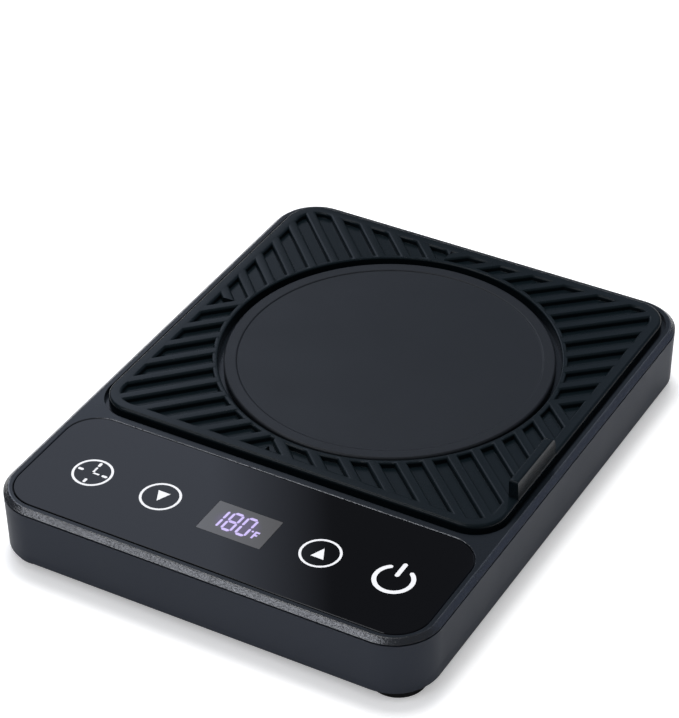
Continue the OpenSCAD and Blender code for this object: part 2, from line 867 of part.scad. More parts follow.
module plate_seal() {
    color("#8a3226")
    translate([0, tray_y, 0])
        rotate_extrude()
            polygon([[skirt_r + 0.1, cover_z], [window_hole_r - 0.1, cover_z],
                [window_hole_r - 0.1, tray_z], [plate_r - 0.3, tray_z],
                [plate_r - 0.3, flange_z], [skirt_r + 0.1, flange_z]]);
}

// Heating element, insulation pad and clamp plate: three discs stacked in the plate's skirt
tab_x = 5;
tab_y = -30;
blade_w = 4.8;
blade_t = 0.8;
probe_r = 3;
disc_r = cavity_r - fit_gap;

module disc(r, h, boss_clearance) {
    difference() {
        cylinder(r = r, h = h);
        translate([0, 0, -cut])
            cylinder(r = probe_r + fit_gap, h = h + 2 * cut);
        for (a = [90, 210, 330])
            rotate(a)
                translate([plate_screw_circle, 0, -cut])
                    cylinder(r = boss_clearance, h = h + 2 * cut);
    }
}

module blade_slots(h) {
    for (x = [-tab_x, tab_x])
        translate([x - blade_w / 2 - 0.5, tab_y - blade_t / 2 - 0.5, -cut])
            cube([blade_w + 1, blade_t + 1, h + 2 * cut]);
}

module heating_element() {
    color("#a8792f")
    translate([0, tray_y, 0]) {
        translate([0, 0, web_z - element_t])
            disc(disc_r, element_t, plate_boss_r + fit_gap);
        for (x = [-tab_x, tab_x])
            translate([x - blade_w / 2, tab_y - blade_t / 2, blade_end_z])
                cube([blade_w, blade_t, web_z - element_t / 2 - blade_end_z]);
    }
}

module insulation_pad() {
    color("#e8e4d8")
    translate([0, tray_y, plate_low_z])
        difference() {
            disc(disc_r, pad_t, plate_boss_r + fit_gap);
            blade_slots(pad_t);
        }
}

clamp_overhang = 1;
clamp_r = window_hole_r + collar_t + clamp_overhang;
clamp_vent_r = 2;
clamp_vent_circle = cavity_r - 4.2;

module clamp_plate() {
    color("#aeb1b5")
    translate([0, tray_y, plate_low_z - clamp_t])
        difference() {
            union() {
                disc(clamp_r, clamp_t, screw_r + fit_gap);
                translate([0, 0, -clamp_rim_h])
                    ring(clamp_r, clamp_r - clamp_t, clamp_rim_h + clamp_t / 2);
            }
            blade_slots(clamp_t);
            for (a = [0:30:330])
                rotate(a)
                    translate([clamp_vent_circle, 0, -cut])
                        cylinder(r = clamp_vent_r, h = clamp_t + 2 * cut, $fn = 32);
        }
}

module plate_screws() {
    color("#9a9da1")
    at_plate_screws()
        translate([0, 0, plate_low_z - clamp_t])
            pan_screw(screw_r, clamp_t + web_z - plate_low_z, screw_head_r, 1.8);
}

// Sensors: the probe touches the plate's underside, the thermal fuse hangs in a steel clip
probe_low_z = plate_low_z - clamp_t - 1;

module thermistor() {
    color("#d0d2d4")
    translate([0, tray_y, probe_low_z]) {
        cylinder(r = probe_r, h = web_z - probe_low_z);
        cylinder(r = probe_r + 1.4, h = 1);
    }
}

fuse_body_r = 2;
fuse_body_l = 12;
fuse_pin_r = 0.5;
fuse_pin_l = 1.4;
thermal_fuse_x = -22;
thermal_fuse_y = tray_y + 8;
thermal_fuse_z = plate_low_z - clamp_t - fuse_body_r - 0.1;

module thermal_fuse() {
    color("#d9d4c4")
    translate([thermal_fuse_x, thermal_fuse_y, thermal_fuse_z])
        rotate([-90, 0, 0])
            translate([0, 0, -fuse_body_l / 2])
                rotate_extrude()
                    polygon([[0, -fuse_pin_l], [fuse_pin_r, -fuse_pin_l], [fuse_pin_r, 0],
                        [fuse_body_r - 0.4, 0], [fuse_body_r, 0.4], [fuse_body_r, fuse_body_l - 1.2],
                        [fuse_pin_r, fuse_body_l], [fuse_pin_r, fuse_body_l + fuse_pin_l],
                        [0, fuse_body_l + fuse_pin_l]]);
}

module thermal_fuse_clip() {
    clip_t = 0.5;
    clip_w = 5;
    clip_r = fuse_body_r + 0.1;
    color("#aeb1b5")
    translate([thermal_fuse_x, thermal_fuse_y, thermal_fuse_z])
        rotate([90, 0, 0])
            translate([0, 0, -clip_w / 2])
                linear_extrude(clip_w)
                    difference() {
                        union() {
                            circle(clip_r + clip_t);
                            translate([-clip_r - 3.5, clip_r - clip_t])
                                square([2 * clip_r + 7, clip_t]);
                            translate([-clip_r - clip_t, 0])
                                square([2 * (clip_r + clip_t), clip_r]);
                        }
                        circle(clip_r);
                        translate([-clip_r, 0])
                            square([2 * clip_r, clip_r + cut]);
                        translate([-10, clip_r])
                            square([20, 5]);
                    }
}

// Leads: heater current runs out through one terminal and back through the thermal fuse
heater_terminal_inset = 10;
heater_terminal_xs = [-18, power_board_w / 2 - heater_terminal_inset];
heater_terminal_from_back = 2.2;
heater_terminal_y = power_front_y + power_board_d - heater_terminal_from_back;
heater_terminal_w = 4.8;
heater_terminal_d = 2.4;
heater_terminal_h = 5;
lead_r = 0.9;
lead_gap = 0.3;
sensor_lead_r = 0.6;
sensor_socket_step = 10.5;
sensor_socket_x = heater_terminal_xs[1] - sensor_socket_step;
sensor_socket_w = 6;
sensor_socket_d = 3;
sensor_socket_h = 2.6;
blade_end_z = plate_low_z - clamp_t - 3.2;

module heater_terminals() {
    color("#c9cbce")
    for (x = heater_terminal_xs)
        translate([x - heater_terminal_w / 2, heater_terminal_y - heater_terminal_d / 2, power_top_z])
            cube([heater_terminal_w, heater_terminal_d, heater_terminal_h]);
}

module heater_leads() {
    low_z = floor_z + 4;
    lead_z = power_top_z + heater_terminal_h / 2;
    start_y = heater_terminal_y + heater_terminal_d / 2 + lead_gap;
    end_z = blade_end_z - lead_gap;
    fuse_end = fuse_body_l / 2 + fuse_pin_l + lead_gap;
    color("#b3352b") {
        wire(smooth_path([[heater_terminal_xs[0], start_y, lead_z],
            [heater_terminal_xs[0], start_y + 1.5, lead_z],
            [heater_terminal_xs[0] + 3, start_y + 6, lead_z - 1],
            [-9, tray_y + tab_y - 2, low_z], [-tab_x, tray_y + tab_y, end_z - 1.6],
            [-tab_x, tray_y + tab_y, end_z]], 4), lead_r);
        wire(smooth_path([[heater_terminal_xs[1], start_y, lead_z],
            [heater_terminal_xs[1], start_y + 1.5, lead_z],
            [heater_terminal_xs[1] - 3, start_y + 8, lead_z - 1],
            [14, tray_y - 22, low_z], [-12, tray_y - 20, low_z],
            [thermal_fuse_x, thermal_fuse_y - fuse_end - 8, thermal_fuse_z - 2],
            [thermal_fuse_x, thermal_fuse_y - fuse_end - 1.5, thermal_fuse_z],
            [thermal_fuse_x, thermal_fuse_y - fuse_end, thermal_fuse_z]], 4), lead_r);
        wire(smooth_path([[thermal_fuse_x, thermal_fuse_y + fuse_end, thermal_fuse_z],
            [thermal_fuse_x, thermal_fuse_y + fuse_end + 1.5, thermal_fuse_z],
            [thermal_fuse_x + 5, thermal_fuse_y + fuse_end + 4, thermal_fuse_z - 1],
            [-10, tray_y + 8, end_z - 0.4], [-5, tray_y - 12, end_z - 0.6],
            [2, tray_y + tab_y + 9, end_z - 0.8], [tab_x, tray_y + tab_y + 2, end_z - 2.6],
            [tab_x, tray_y + tab_y, end_z - 1.6], [tab_x, tray_y + tab_y, end_z]], 4), lead_r);
    }
}

module thermistor_leads() {
    socket_y = heater_terminal_y - sensor_socket_d / 2;
    color("#26282b") {
        for (side = [-1, 1])
            wire(smooth_path([[side, tray_y, probe_low_z - lead_gap],
                [side, tray_y, probe_low_z - 1.2], [side, tray_y, probe_low_z - 2.4],
                [side + 3, tray_y - 12, floor_z + 2],
                [side + 12, tray_y - 26, floor_z + 1.2],
                [side + sensor_socket_x - 1, heater_terminal_y + 9, floor_z + 2.5],
                [side + sensor_socket_x, socket_y + sensor_socket_d - 0.2, power_top_z + sensor_socket_h / 2]], 4),
                sensor_lead_r);
        translate([sensor_socket_x - sensor_socket_w / 2, socket_y, power_top_z])
            cube([sensor_socket_w, sensor_socket_d, sensor_socket_h]);
    }
}

// Silicone mat: one moulding with a frame, chevron ribs, a ring round the plate and a pull tab
mat_w = tray_w - 2 * mat_gap;
mat_d = tray_d - 2 * mat_gap;
mat_r = tray_r - mat_gap;
mat_z = top_z + mat_proud;
ring_in_r = plate_r + ring_gap;
ring_out_r = ring_in_r + ring_w;
rib_area = [mat_w - 2 * mat_frame, mat_d - 2 * mat_frame];
rib_edge_r = 0.7;
ring_edge_r = 0.45;
rib_overlap = 0.5;
// The four fans of ribs meet here, measured from the middle of the plate
fans_meet = [-7.7, 1.6];
// Each fan's side in x and y, the angle of its ribs, and how far one groove lies off the middle
rib_fans = [[-1, -1, 45, -1.4], [1, -1, -42, -2.95], [1, 1, 41.5, -0.9], [-1, 1, -45, 1.4]];

// Rounded upper edge as [inset, height] points
function edge_round(r, z, steps = 3) =
    [for (i = [0:steps]) let (a = 90 * i / steps) [r * (1 - cos(a)), z - r * (1 - sin(a))]];

module silicone_mat() {
    color("#1a1c1f")
    translate([0, tray_y, 0])
        difference() {
            union() {
                mat_border();
                mat_sheet_and_ribs();
                translate([0, 0, tray_z])
                    cylinder(r = ring_out_r, h = mat_sheet);
                mat_ring();
                pull_tab();
            }
            translate([0, 0, tray_z - cut])
                cylinder(r = ring_in_r, h = top_z);
        }
}

module mat_border() {
    difference() {
        moulded_block(mat_w, mat_d, mat_r, concat([[0, tray_z]], edge_round(mat_edge_r, mat_z)));
        translate([0, 0, tray_z - cut])
            slab(rib_area[0], rib_area[1], mat_r - mat_frame, top_z);
    }
}

module mat_sheet_and_ribs() {
    wide = rib_area + [2 * rib_overlap, 2 * rib_overlap];
    wide_r = mat_r - mat_frame + rib_overlap;
    translate([0, 0, tray_z])
        slab(wide[0], wide[1], wide_r, mat_sheet);
    difference() {
        intersection() {
            translate([0, 0, tray_z + mat_sheet / 2])
                slab(wide[0], wide[1], wide_r, top_z);
            union()
                for (fan = rib_fans)
                    rib_fan(fan[0], fan[1], fan[2], fan[3]);
        }
        translate([0, 0, tray_z - cut])
            cylinder(r = ring_out_r - rib_overlap / 2, h = top_z);
    }
}

// One quarter's parallel ribs, which run outwards
module rib_fan(side_x, side_y, angle, groove_off) {
    reach = mat_w;
    count = ceil((mat_w + mat_d) / 2 / rib_pitch / sqrt(2)) + 1;
    intersection() {
        translate([fans_meet[0] + (side_x < 0 ? -reach : 0), fans_meet[1] + (side_y < 0 ? -reach : 0),
            tray_z])
            cube([reach, reach, top_z]);
        translate([0, 0, tray_z + mat_sheet / 2])
            rotate(angle)
                for (k = [-count:count - 1])
                    translate([0, groove_off + (k + 0.5) * rib_pitch, 0])
                        rotate([90, 0, 90])
                            linear_extrude(2.6 * reach, center = true)
                                rib_section();
    }
}

module rib_section() {
    high = mat_z - tray_z - mat_sheet / 2;
    side = edge_round(rib_edge_r, high);
    polygon(concat([[-rib_w / 2, 0], [rib_w / 2, 0]], [for (p = side) [rib_w / 2 - p[0], p[1]]],
        [for (n = [len(side) - 1:-1:0]) [side[n][0] - rib_w / 2, side[n][1]]]));
}

module mat_ring() {
    high = edge_round(ring_edge_r, mat_z);
    rotate_extrude()
        polygon(concat([[ring_in_r - 0.5, tray_z], [ring_out_r, tray_z]],
            [for (p = high) [ring_out_r - p[0], p[1]]],
            [for (n = [len(high) - 1:-1:0]) [ring_in_r + high[n][0], high[n][1]]],
            [[ring_in_r, tray_z + mat_sheet], [ring_in_r - 0.5, tray_z + mat_sheet]]));
}

// The tab stands on the frame's right side, and its outer face sweeps down to the mat's edge
tab_foot = 0.5;
tab_edge = 0.6;
tab_rear_r = 2.6;

module pull_tab() {
    high = mat_z + tab_h;
    foot_x = mat_w / 2;
    outer_x = foot_x - tab_foot;
    inner_x = outer_x - tab_t;
    low_z = tray_z + mat_sheet;
    sweep_h = tab_h + mat_edge_r - tab_edge;
    sweep = [for (i = [0:5]) let (t = i / 5)
        [foot_x - tab_foot * sin(90 * t), mat_z - mat_edge_r + sweep_h * (1 - cos(90 * t))]];
    start_y = front_y + tab_from_front - tray_y;
    intersection() {
        translate([0, start_y + tab_l, 0])
            rotate([90, 0, 0])
                linear_extrude(tab_l)
                    polygon(concat([[inner_x, low_z], [foot_x - tab_edge, low_z]], sweep,
                        [[outer_x - tab_edge, high], [inner_x + tab_edge, high],
                        [inner_x, high - tab_edge]]));
        translate([mat_w / 2 - 10, start_y, 0])
            rotate([90, 0, 90])
                linear_extrude(20)
                    polygon(concat([[0, 0], [tab_l, 0]],
                        [for (i = [0:4]) let (a = 90 * i / 4)
                            [tab_l - tab_rear_r * (1 - cos(a)), high - tab_rear_r * (1 - sin(a))]],
                        [[tab_edge, high], [0, high - tab_edge]]));
    }
}

// Rubber feet: round pads stuck into the tub's recesses over the screws
module rubber_feet() {
    foot_top = foot_stand + foot_recess;
    color("#141414")
    at_corners(column_x, column_y)
        rotate_extrude()
            polygon([[0, 0], [foot_d / 2 - 0.9, 0], [foot_d / 2 - 0.3, 0.3], [foot_d / 2, 0.9],
                [foot_d / 2, foot_top], [0, foot_top]]);
}

module housing_screws() {
    color("#9a9da1")
    at_corners(column_x, column_y)
        translate([0, 0, screw_seat_z])
            pan_screw(screw_r, cover_z - screw_seat_z, screw_head_r, screw_head_h);
}

// Cord gland: a rubber bush in the back wall, and a clamp bar across the cord behind it
module cord_gland() {
    dish_y = back_y - dish_depth;
    wall_in_y = back_y - wall_t - gland_boss_t;
    color("#1c1d1f")
    translate([0, 0, cord_z])
        rotate([-90, 0, 0])
            rotate_extrude()
                polygon([[cord_r, wall_in_y - gland_inner_l], [gland_neck_r, wall_in_y - gland_inner_l],
                    [gland_collar_r, wall_in_y - 1.4], [gland_collar_r, wall_in_y],
                    [gland_neck_r, wall_in_y], [gland_neck_r, dish_y], [gland_collar_r, dish_y],
                    [gland_collar_r, dish_y + 0.3], [gland_collar_r - 0.4, dish_y + 0.7],
                    [cord_r, dish_y + 0.7]]);
}

clamp_bar_t = 2;

module cord_clamp() {
    color("#2a2c2f")
    difference() {
        translate([0, cord_clamp_y, cord_clamp_z])
            slab(2 * clamp_post_x + 6, clamp_bar_w, 2.4, clamp_bar_t);
        for (x = [-1, 1])
            translate([x * clamp_post_x, cord_clamp_y, cord_clamp_z - cut])
                cylinder(r = board_screw_r + fit_gap, h = clamp_bar_t + 2 * cut);
    }
}

module cord_clamp_screws() {
    color("#9a9da1")
    for (x = [-1, 1])
        translate([x * clamp_post_x, cord_clamp_y, cord_clamp_z + clamp_bar_t])
            mirror([0, 0, 1])
                pan_screw(board_screw_r, clamp_bar_t + 4, board_head_r, board_head_h);
}

lower_tub();
top_cover();
panel_glass();
panel_adhesive();
display_window();
display_module();
touch_springs();
touch_board();
touch_board_chips();
buzzer();
touch_board_screws();
ribbon_cable();
ribbon_sockets();
power_board();
power_board_screws();
transformer_core();
transformer_winding();
mains_capacitor();
output_capacitor();
film_capacitor();
fuse();
varistor();
triac();
triac_heat_sink();
power_board_chips();
mains_terminal();
heater_terminals();
heater_leads();
heating_plate();
plate_seal();
heating_element();
insulation_pad();
clamp_plate();
plate_screws();
thermistor();
thermistor_leads();
thermal_fuse();
thermal_fuse_clip();
silicone_mat();
rubber_feet();
housing_screws();
cord_gland();
cord_clamp();
cord_clamp_screws();
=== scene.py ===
"""Electric mug warmer with a glass touch panel, a heating plate and a ribbed silicone mat."""

import math

import bmesh
import bpy
from mathutils import Matrix, Vector


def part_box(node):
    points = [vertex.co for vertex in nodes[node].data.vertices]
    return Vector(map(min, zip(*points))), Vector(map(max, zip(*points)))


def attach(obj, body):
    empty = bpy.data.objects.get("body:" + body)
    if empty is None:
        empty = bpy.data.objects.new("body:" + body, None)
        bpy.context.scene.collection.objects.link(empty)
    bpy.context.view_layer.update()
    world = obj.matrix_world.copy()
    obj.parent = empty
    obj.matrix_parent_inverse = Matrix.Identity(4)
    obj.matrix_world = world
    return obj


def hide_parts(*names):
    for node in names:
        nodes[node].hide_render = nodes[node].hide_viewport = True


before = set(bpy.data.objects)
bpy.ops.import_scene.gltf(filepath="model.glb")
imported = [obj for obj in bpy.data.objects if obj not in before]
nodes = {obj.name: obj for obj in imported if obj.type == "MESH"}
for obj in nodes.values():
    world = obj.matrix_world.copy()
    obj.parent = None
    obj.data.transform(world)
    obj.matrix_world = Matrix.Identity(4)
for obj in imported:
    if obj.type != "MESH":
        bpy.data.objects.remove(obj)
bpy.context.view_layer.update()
scene = bpy.context.scene
scene.view_settings.view_transform = "Standard"
MM = 0.001


# ---------------------------------------------------------------- camera
# A long lens looks down on the object from the front right, and is turned a little about its own
# axis.

camera = bpy.data.objects.new("camera", bpy.data.cameras.new("camera"))
scene.collection.objects.link(camera)
scene.camera = camera
camera.data.sensor_width = 36.0
camera.data.lens = 142.81
camera.data.clip_start, camera.data.clip_end = 0.05, 60.0
camera.location = (0.2850, -0.5073, 0.4539)
look_at = Vector((-0.01235, 0.01577, 0.018))
camera_roll = math.radians(-0.616)
camera.rotation_mode = "QUATERNION"
camera.rotation_quaternion = (
    (look_at - camera.location).to_track_quat("-Z", "Y")
    @ Matrix.Rotation(camera_roll, 3, "Z").to_quaternion()
)


# ---------------------------------------------------------------- table and light
# A white table top under plain studio light. A small key lamp and a wide overhead one light it from
# above, and a front left lamp lights the walls. A pale window behind on the left shows its end in
# the glass, and a strip and two dim cards give the edges something to reflect.


def srgb(code):
    """A #rrggbb colour as the linear values that a shader takes."""
    parts = [int(code[i : i + 2], 16) / 255 for i in (1, 3, 5)]
    return [c / 12.92 if c <= 0.04045 else ((c + 0.055) / 1.055) ** 2.4 for c in parts] + [1.0]


def add(tree, kind, values=None, **settings):
    """Adds a node to a tree, with its settings, and its inputs as values or as sockets to link."""
    node = tree.nodes.new(kind)
    for name, value in settings.items():
        setattr(node, name, value)
    for name, value in (values or {}).items():
        if isinstance(value, bpy.types.NodeSocket):
            tree.links.new(value, node.inputs[name])
        else:
            node.inputs[name].default_value = value
    return node


def new_material(name):
    material = bpy.data.materials.new(name)
    material.use_nodes = True
    material.node_tree.nodes.clear()
    return material, material.node_tree


def add_mesh(name, verts, faces):
    mesh = bpy.data.meshes.new(name)
    mesh.from_pydata(verts, [], faces)
    piece = bpy.data.objects.new(name, mesh)
    scene.collection.objects.link(piece)
    return piece


# The table is white to the eye and in every reflection, and keeps the shadow under the object
table_half, table_glow = 12.0, 0.38
table_white, tree = new_material("white_table_top")
path = add(tree, "ShaderNodeLightPath")
eye_or_mirror = add(tree, "ShaderNodeMath",
                    {0: path.outputs["Is Camera Ray"], 1: path.outputs["Is Glossy Ray"]},
                    operation="MAXIMUM")
seen = add(tree, "ShaderNodeMath",
           {0: eye_or_mirror.outputs[0], 1: path.outputs["Is Transmission Ray"]},
           operation="MAXIMUM")
plain = add(tree, "ShaderNodeBsdfDiffuse", {"Color": srgb("#f4f4f5")})
shaded = add(tree, "ShaderNodeBsdfDiffuse", {"Color": (0.95, 0.95, 0.95, 1.0)})
glow = add(tree, "ShaderNodeMapRange",
           {"Value": path.outputs["Is Camera Ray"], "To Max": table_glow})
pale = add(tree, "ShaderNodeEmission", {"Color": (1.0, 1.0, 1.0, 1.0), "Strength": glow.outputs[0]})
white = add(tree, "ShaderNodeAddShader", {0: shaded.outputs[0], 1: pale.outputs[0]})
both = add(tree, "ShaderNodeMixShader",
           {0: seen.outputs[0], 1: plain.outputs[0], 2: white.outputs[0]})
add(tree, "ShaderNodeOutputMaterial", {"Surface": both.outputs[0]})
table = add_mesh("table", [(x * table_half, y * table_half, 0.0)
                           for x, y in ((-1, -1), (1, -1), (1, 1), (-1, 1))], [(0, 1, 2, 3)])
table.data.materials.append(table_white)

room = bpy.data.worlds.new("dim_studio")
scene.world = room
room.use_nodes = True
dim_walls = room.node_tree.nodes["Background"].inputs
dim_walls["Color"].default_value = srgb("#f4f6ff")
dim_walls["Strength"].default_value = 0.08


def soft_lamp(name, place, aim, size, radiance, colour="#ffffff", fade=0.0):
    """A rectangular soft lamp; its radiance is the brightness that a mirror would show of it.

    fade is the share of its width over which it dims towards its right-hand end.
    """
    data = bpy.data.lights.new(name, "AREA")
    data.shape = "RECTANGLE"
    data.size, data.size_y = size
    data.color = srgb(colour)[:3]
    data.energy = radiance * math.pi * size[0] * size[1]
    lamp = bpy.data.objects.new(name, data)
    scene.collection.objects.link(lamp)
    lamp.location = place
    lamp.rotation_mode = "QUATERNION"
    lamp.rotation_quaternion = (Vector(aim) - Vector(place)).to_track_quat("-Z", "Y")
    if fade:
        data.use_nodes = True
        tree = data.node_tree
        face = add(tree, "ShaderNodeNewGeometry")
        across = add(tree, "ShaderNodeSeparateXYZ", {"Vector": face.outputs["Parametric"]})
        dim = add(tree, "ShaderNodeMapRange", {"Value": across.outputs["X"], "From Max": fade})
        tree.links.new(dim.outputs[0], tree.nodes["Emission"].inputs["Strength"])
    return lamp


key = soft_lamp("key_lamp", (-0.14, 0.25, 1.50), (0.0, 0.0, 0.0), (0.40, 0.40), 24.0)
overhead = soft_lamp("overhead_lamp", (0.20, -0.20, 1.60), (0.20, -0.20, 0.0), (2.3, 1.8), 0.75)
for lamp in (key, overhead):
    lamp.visible_glossy = False  # their reflections are filtered out, as crossed polarisers do
soft_lamp("edge_strip", (-0.70, 0.14, 1.60), (0.0, 0.0, 0.0), (0.70, 0.30), 3.0)
soft_lamp("front_left_lamp", (-0.44, -0.77, 0.95), (0.0, -0.02, 0.02), (0.85, 0.35), 2.5, "#f1f5ff")
soft_lamp("back_window", (-0.976, 0.751, 1.02), (-0.316, 0.001, 1.02), (0.95, 1.0), 1.3, "#dfe9ff",
          fade=0.1)
soft_lamp("right_card", (0.82, 0.98, 0.55), (0.0, 0.0, 0.02), (0.80, 0.55), 0.20, "#adc5ff")
soft_lamp("back_card", (-0.12, 1.15, 0.88), (0.02, 0.0, 0.02), (0.70, 0.50), 0.50, "#d3e2ff")


# ---------------------------------------------------------------- lower tub
# The lower half of the housing: one moulding in black ABS with a fine matt tool texture.
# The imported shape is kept, and its edges get the small rounding that a mould leaves.


def moulded_plastic(name, colour, roughness, grain_mm, grain_depth_mm, ior=1.5, gloss=0.5):
    """Moulded plastic with a tool texture of fine even bumps; gloss 0.5 is a clean surface's."""
    wear_mm, wear_spread = 18.0, 0.03
    material, tree = new_material(name)
    place = add(tree, "ShaderNodeTexCoord")
    grain = add(tree, "ShaderNodeTexNoise",
                {"Vector": place.outputs["Object"], "Scale": 1.0 / (grain_mm * MM), "Detail": 2.0})
    wear = add(tree, "ShaderNodeTexNoise",
               {"Vector": place.outputs["Object"], "Scale": 1.0 / (wear_mm * MM), "Detail": 3.0})
    rough = add(tree, "ShaderNodeMapRange",
                {"Value": wear.outputs[0], "From Min": 0.3, "From Max": 0.7,
                 "To Min": roughness - wear_spread, "To Max": roughness + wear_spread})
    bump = add(tree, "ShaderNodeBump",
               {"Height": grain.outputs[0], "Strength": 1.0, "Distance": grain_depth_mm * MM})
    shade = add(tree, "ShaderNodeBsdfPrincipled",
                {"Base Color": srgb(colour), "Roughness": rough.outputs[0], "IOR": ior,
                 "Specular IOR Level": gloss, "Normal": bump.outputs[0]})
    add(tree, "ShaderNodeOutputMaterial", {"Surface": shade.outputs[0]})
    return material


def dressed_copy(node, name, body, material, edge_mm, sharp_deg=30.0, chamfer_mm=0.0,
                 is_chamfered=None):
    """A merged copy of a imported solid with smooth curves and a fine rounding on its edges.

    Edges whose two corners pass is_chamfered get a flat chamfer in the material of the second slot.
    """
    mesh = nodes[node].data.copy()
    mesh.name = name
    work = bmesh.new()
    work.from_mesh(mesh)
    bmesh.ops.remove_doubles(work, verts=work.verts, dist=0.002 * MM)
    bmesh.ops.dissolve_limit(work, angle_limit=math.radians(0.2), verts=work.verts,
                             edges=work.edges)
    if is_chamfered:
        least_turn = 0.5
        weight = work.edges.layers.float.new("bevel_weight_edge")
        for edge in work.edges:
            chosen = all(is_chamfered(vertex.co) for vertex in edge.verts)
            if chosen and edge.calc_face_angle(0.0) > least_turn:
                edge[weight] = 1.0
    work.to_mesh(mesh)
    work.free()
    mesh.materials.clear()
    mesh.materials.append(material)
    piece = bpy.data.objects.new(name, mesh)
    scene.collection.objects.link(piece)
    for face in mesh.polygons:
        face.use_smooth = True
    mesh.set_sharp_from_angle(angle=math.radians(sharp_deg))
    if is_chamfered:
        chamfer = piece.modifiers.new("chamfer", "BEVEL")
        chamfer.width, chamfer.segments = chamfer_mm * MM, 1
        chamfer.limit_method = "WEIGHT"
        chamfer.material = 1
        chamfer.mark_sharp = True
    rounding = piece.modifiers.new("edge", "BEVEL")
    rounding.width, rounding.segments = edge_mm * MM, 2
    rounding.limit_method = "ANGLE"
    rounding.angle_limit = math.radians(sharp_deg)
    rounding.miter_outer = "MITER_ARC"
    piece.modifiers.new("flat_faces_stay_flat", "WEIGHTED_NORMAL").keep_sharp = True
    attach(piece, body)
    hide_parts(node)
    return piece


# Fine-textured ABS with almost no mirror, so that the walls look even. Its dark blue-grey is partly
# its
# own near black and partly painted sheen: the white table's reflection put into the colour
tub_abs_painted_sheen = moulded_plastic("tub_moulded_abs_painted_sheen", "#3c4048", 0.36, 0.30, 0.008, gloss=0.05)
tub = dressed_copy("lower_tub", "tub", "housing", tub_abs_painted_sheen, edge_mm=0.07)

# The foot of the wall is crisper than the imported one: its rounding shrinks to crisp_r
tub_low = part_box("lower_tub")[0]
wall_corner_r, wall_lean, wall_foot_r, crisp_r = 12.5 * MM, 0.4 * MM, 1.0 * MM, 0.3 * MM


def inset_of(place):
    """How far a point lies inside the housing's upright outline, and the way out in plan."""
    reach = Vector((abs(place.x) + tub_low.x + wall_corner_r,
                    abs(place.y) + tub_low.y + wall_corner_r))
    out = Vector((max(reach.x, 0.0), max(reach.y, 0.0)))
    way = out.normalized()
    inset = wall_corner_r - (out.length if out.length else max(reach))
    return inset, Vector((math.copysign(way.x, place.x), math.copysign(way.y, place.y), 0.0))


for vertex in tub.data.vertices:
    rise = (vertex.co.z - tub_low.z) / wall_foot_r
    inset, way_out = inset_of(vertex.co)
    packed_inset = wall_lean + wall_foot_r * (1 - math.sqrt(max(0.0, 1 - (1 - rise) ** 2)))
    if -0.01 < rise < 1.01 and abs(inset - packed_inset) < 0.1 * MM:
        vertex.co += way_out * (inset - wall_lean) * (1 - crisp_r / wall_foot_r)
        vertex.co.z = tub_low.z + rise * crisp_r


# ---------------------------------------------------------------- feet and housing screws
# Round pads of moulded rubber, stuck in the tub's recesses. They cover the zinc-plated screws that
# pull tub and cover together.


def finish(material, *names):
    """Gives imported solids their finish."""
    for name in names:
        nodes[name].data.materials.clear()
        nodes[name].data.materials.append(material)


def turned(name, profile, centres, material):
    """Round pieces of one kind, turned from (radius, height) points that run from axis to axis."""
    steps = 48
    verts, faces = [], []
    for centre in centres:
        first = len(verts)
        verts += [(centre[0] * MM, centre[1] * MM, profile[0][1] * MM)]
        verts += [((centre[0] + r * math.cos(2 * math.pi * i / steps)) * MM,
                   (centre[1] + r * math.sin(2 * math.pi * i / steps)) * MM, z * MM)
                  for r, z in profile[1:-1] for i in range(steps)]
        verts += [(centre[0] * MM, centre[1] * MM, profile[-1][1] * MM)]
        last, rows = len(verts) - 1, len(profile) - 2
        for i in range(steps):
            j = (i + 1) % steps
            faces.append((first, first + 1 + j, first + 1 + i))
            faces += [(first + 1 + row * steps + i, first + 1 + row * steps + j,
                       first + 1 + (row + 1) * steps + j, first + 1 + (row + 1) * steps + i)
                      for row in range(rows - 1)]
            faces.append((last, last - steps + i, last - steps + j))
    piece = add_mesh(name, verts, faces)
    for face in piece.data.polygons:
        face.use_smooth = True
    piece.data.set_sharp_from_angle(angle=math.radians(35))
    piece.data.materials.append(material)
    return piece


# Moulded rubber: black and dead matt. Each foot fills its recess and flares below it
foot_rubber = moulded_plastic("foot_rubber", "#101011", 0.75, 0.5, 0.02, gloss=0.3)
foot_x, foot_y, foot_top = 50.0, 67.5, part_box("rubber_feet")[1].z / MM
foot_profile = [(0, 0.25), (4.6, 0.25), (4.9, 0.0), (6.7, 0.0), (7.1, 0.15), (7.25, 0.5),
                (7.25, 1.9), (7.0, 2.45), (6.4, 2.68), (6.2, 2.7), (6.2, foot_top), (0, foot_top)]
foot_places = [(x, y) for x in (-foot_x, foot_x) for y in (-foot_y, foot_y)]
feet = turned("feet", foot_profile, foot_places, foot_rubber)
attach(feet, "housing")
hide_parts("rubber_feet")


def metal(name, colour, roughness, brush_mm, stretch=(1.0, 1.0, 1.0)):
    """Plated, drawn or rolled metal; its marks run along the axis with the smallest stretch."""
    mark_depth_mm, spread = 0.01, 0.08
    material, tree = new_material(name)
    place = add(tree, "ShaderNodeTexCoord")
    along = add(tree, "ShaderNodeMapping", {"Vector": place.outputs["Object"], "Scale": stretch})
    marks = add(tree, "ShaderNodeTexNoise",
                {"Vector": along.outputs[0], "Scale": 1.0 / (brush_mm * MM), "Detail": 3.0})
    rough = add(tree, "ShaderNodeMapRange",
                {"Value": marks.outputs[0], "To Min": roughness - spread,
                 "To Max": roughness + spread})
    bump = add(tree, "ShaderNodeBump",
               {"Height": marks.outputs[0], "Strength": 0.4, "Distance": mark_depth_mm * MM})
    shade = add(tree, "ShaderNodeBsdfPrincipled",
                {"Base Color": srgb(colour), "Metallic": 1.0, "Roughness": rough.outputs[0],
                 "Normal": bump.outputs[0]})
    add(tree, "ShaderNodeOutputMaterial", {"Surface": shade.outputs[0]})
    return material


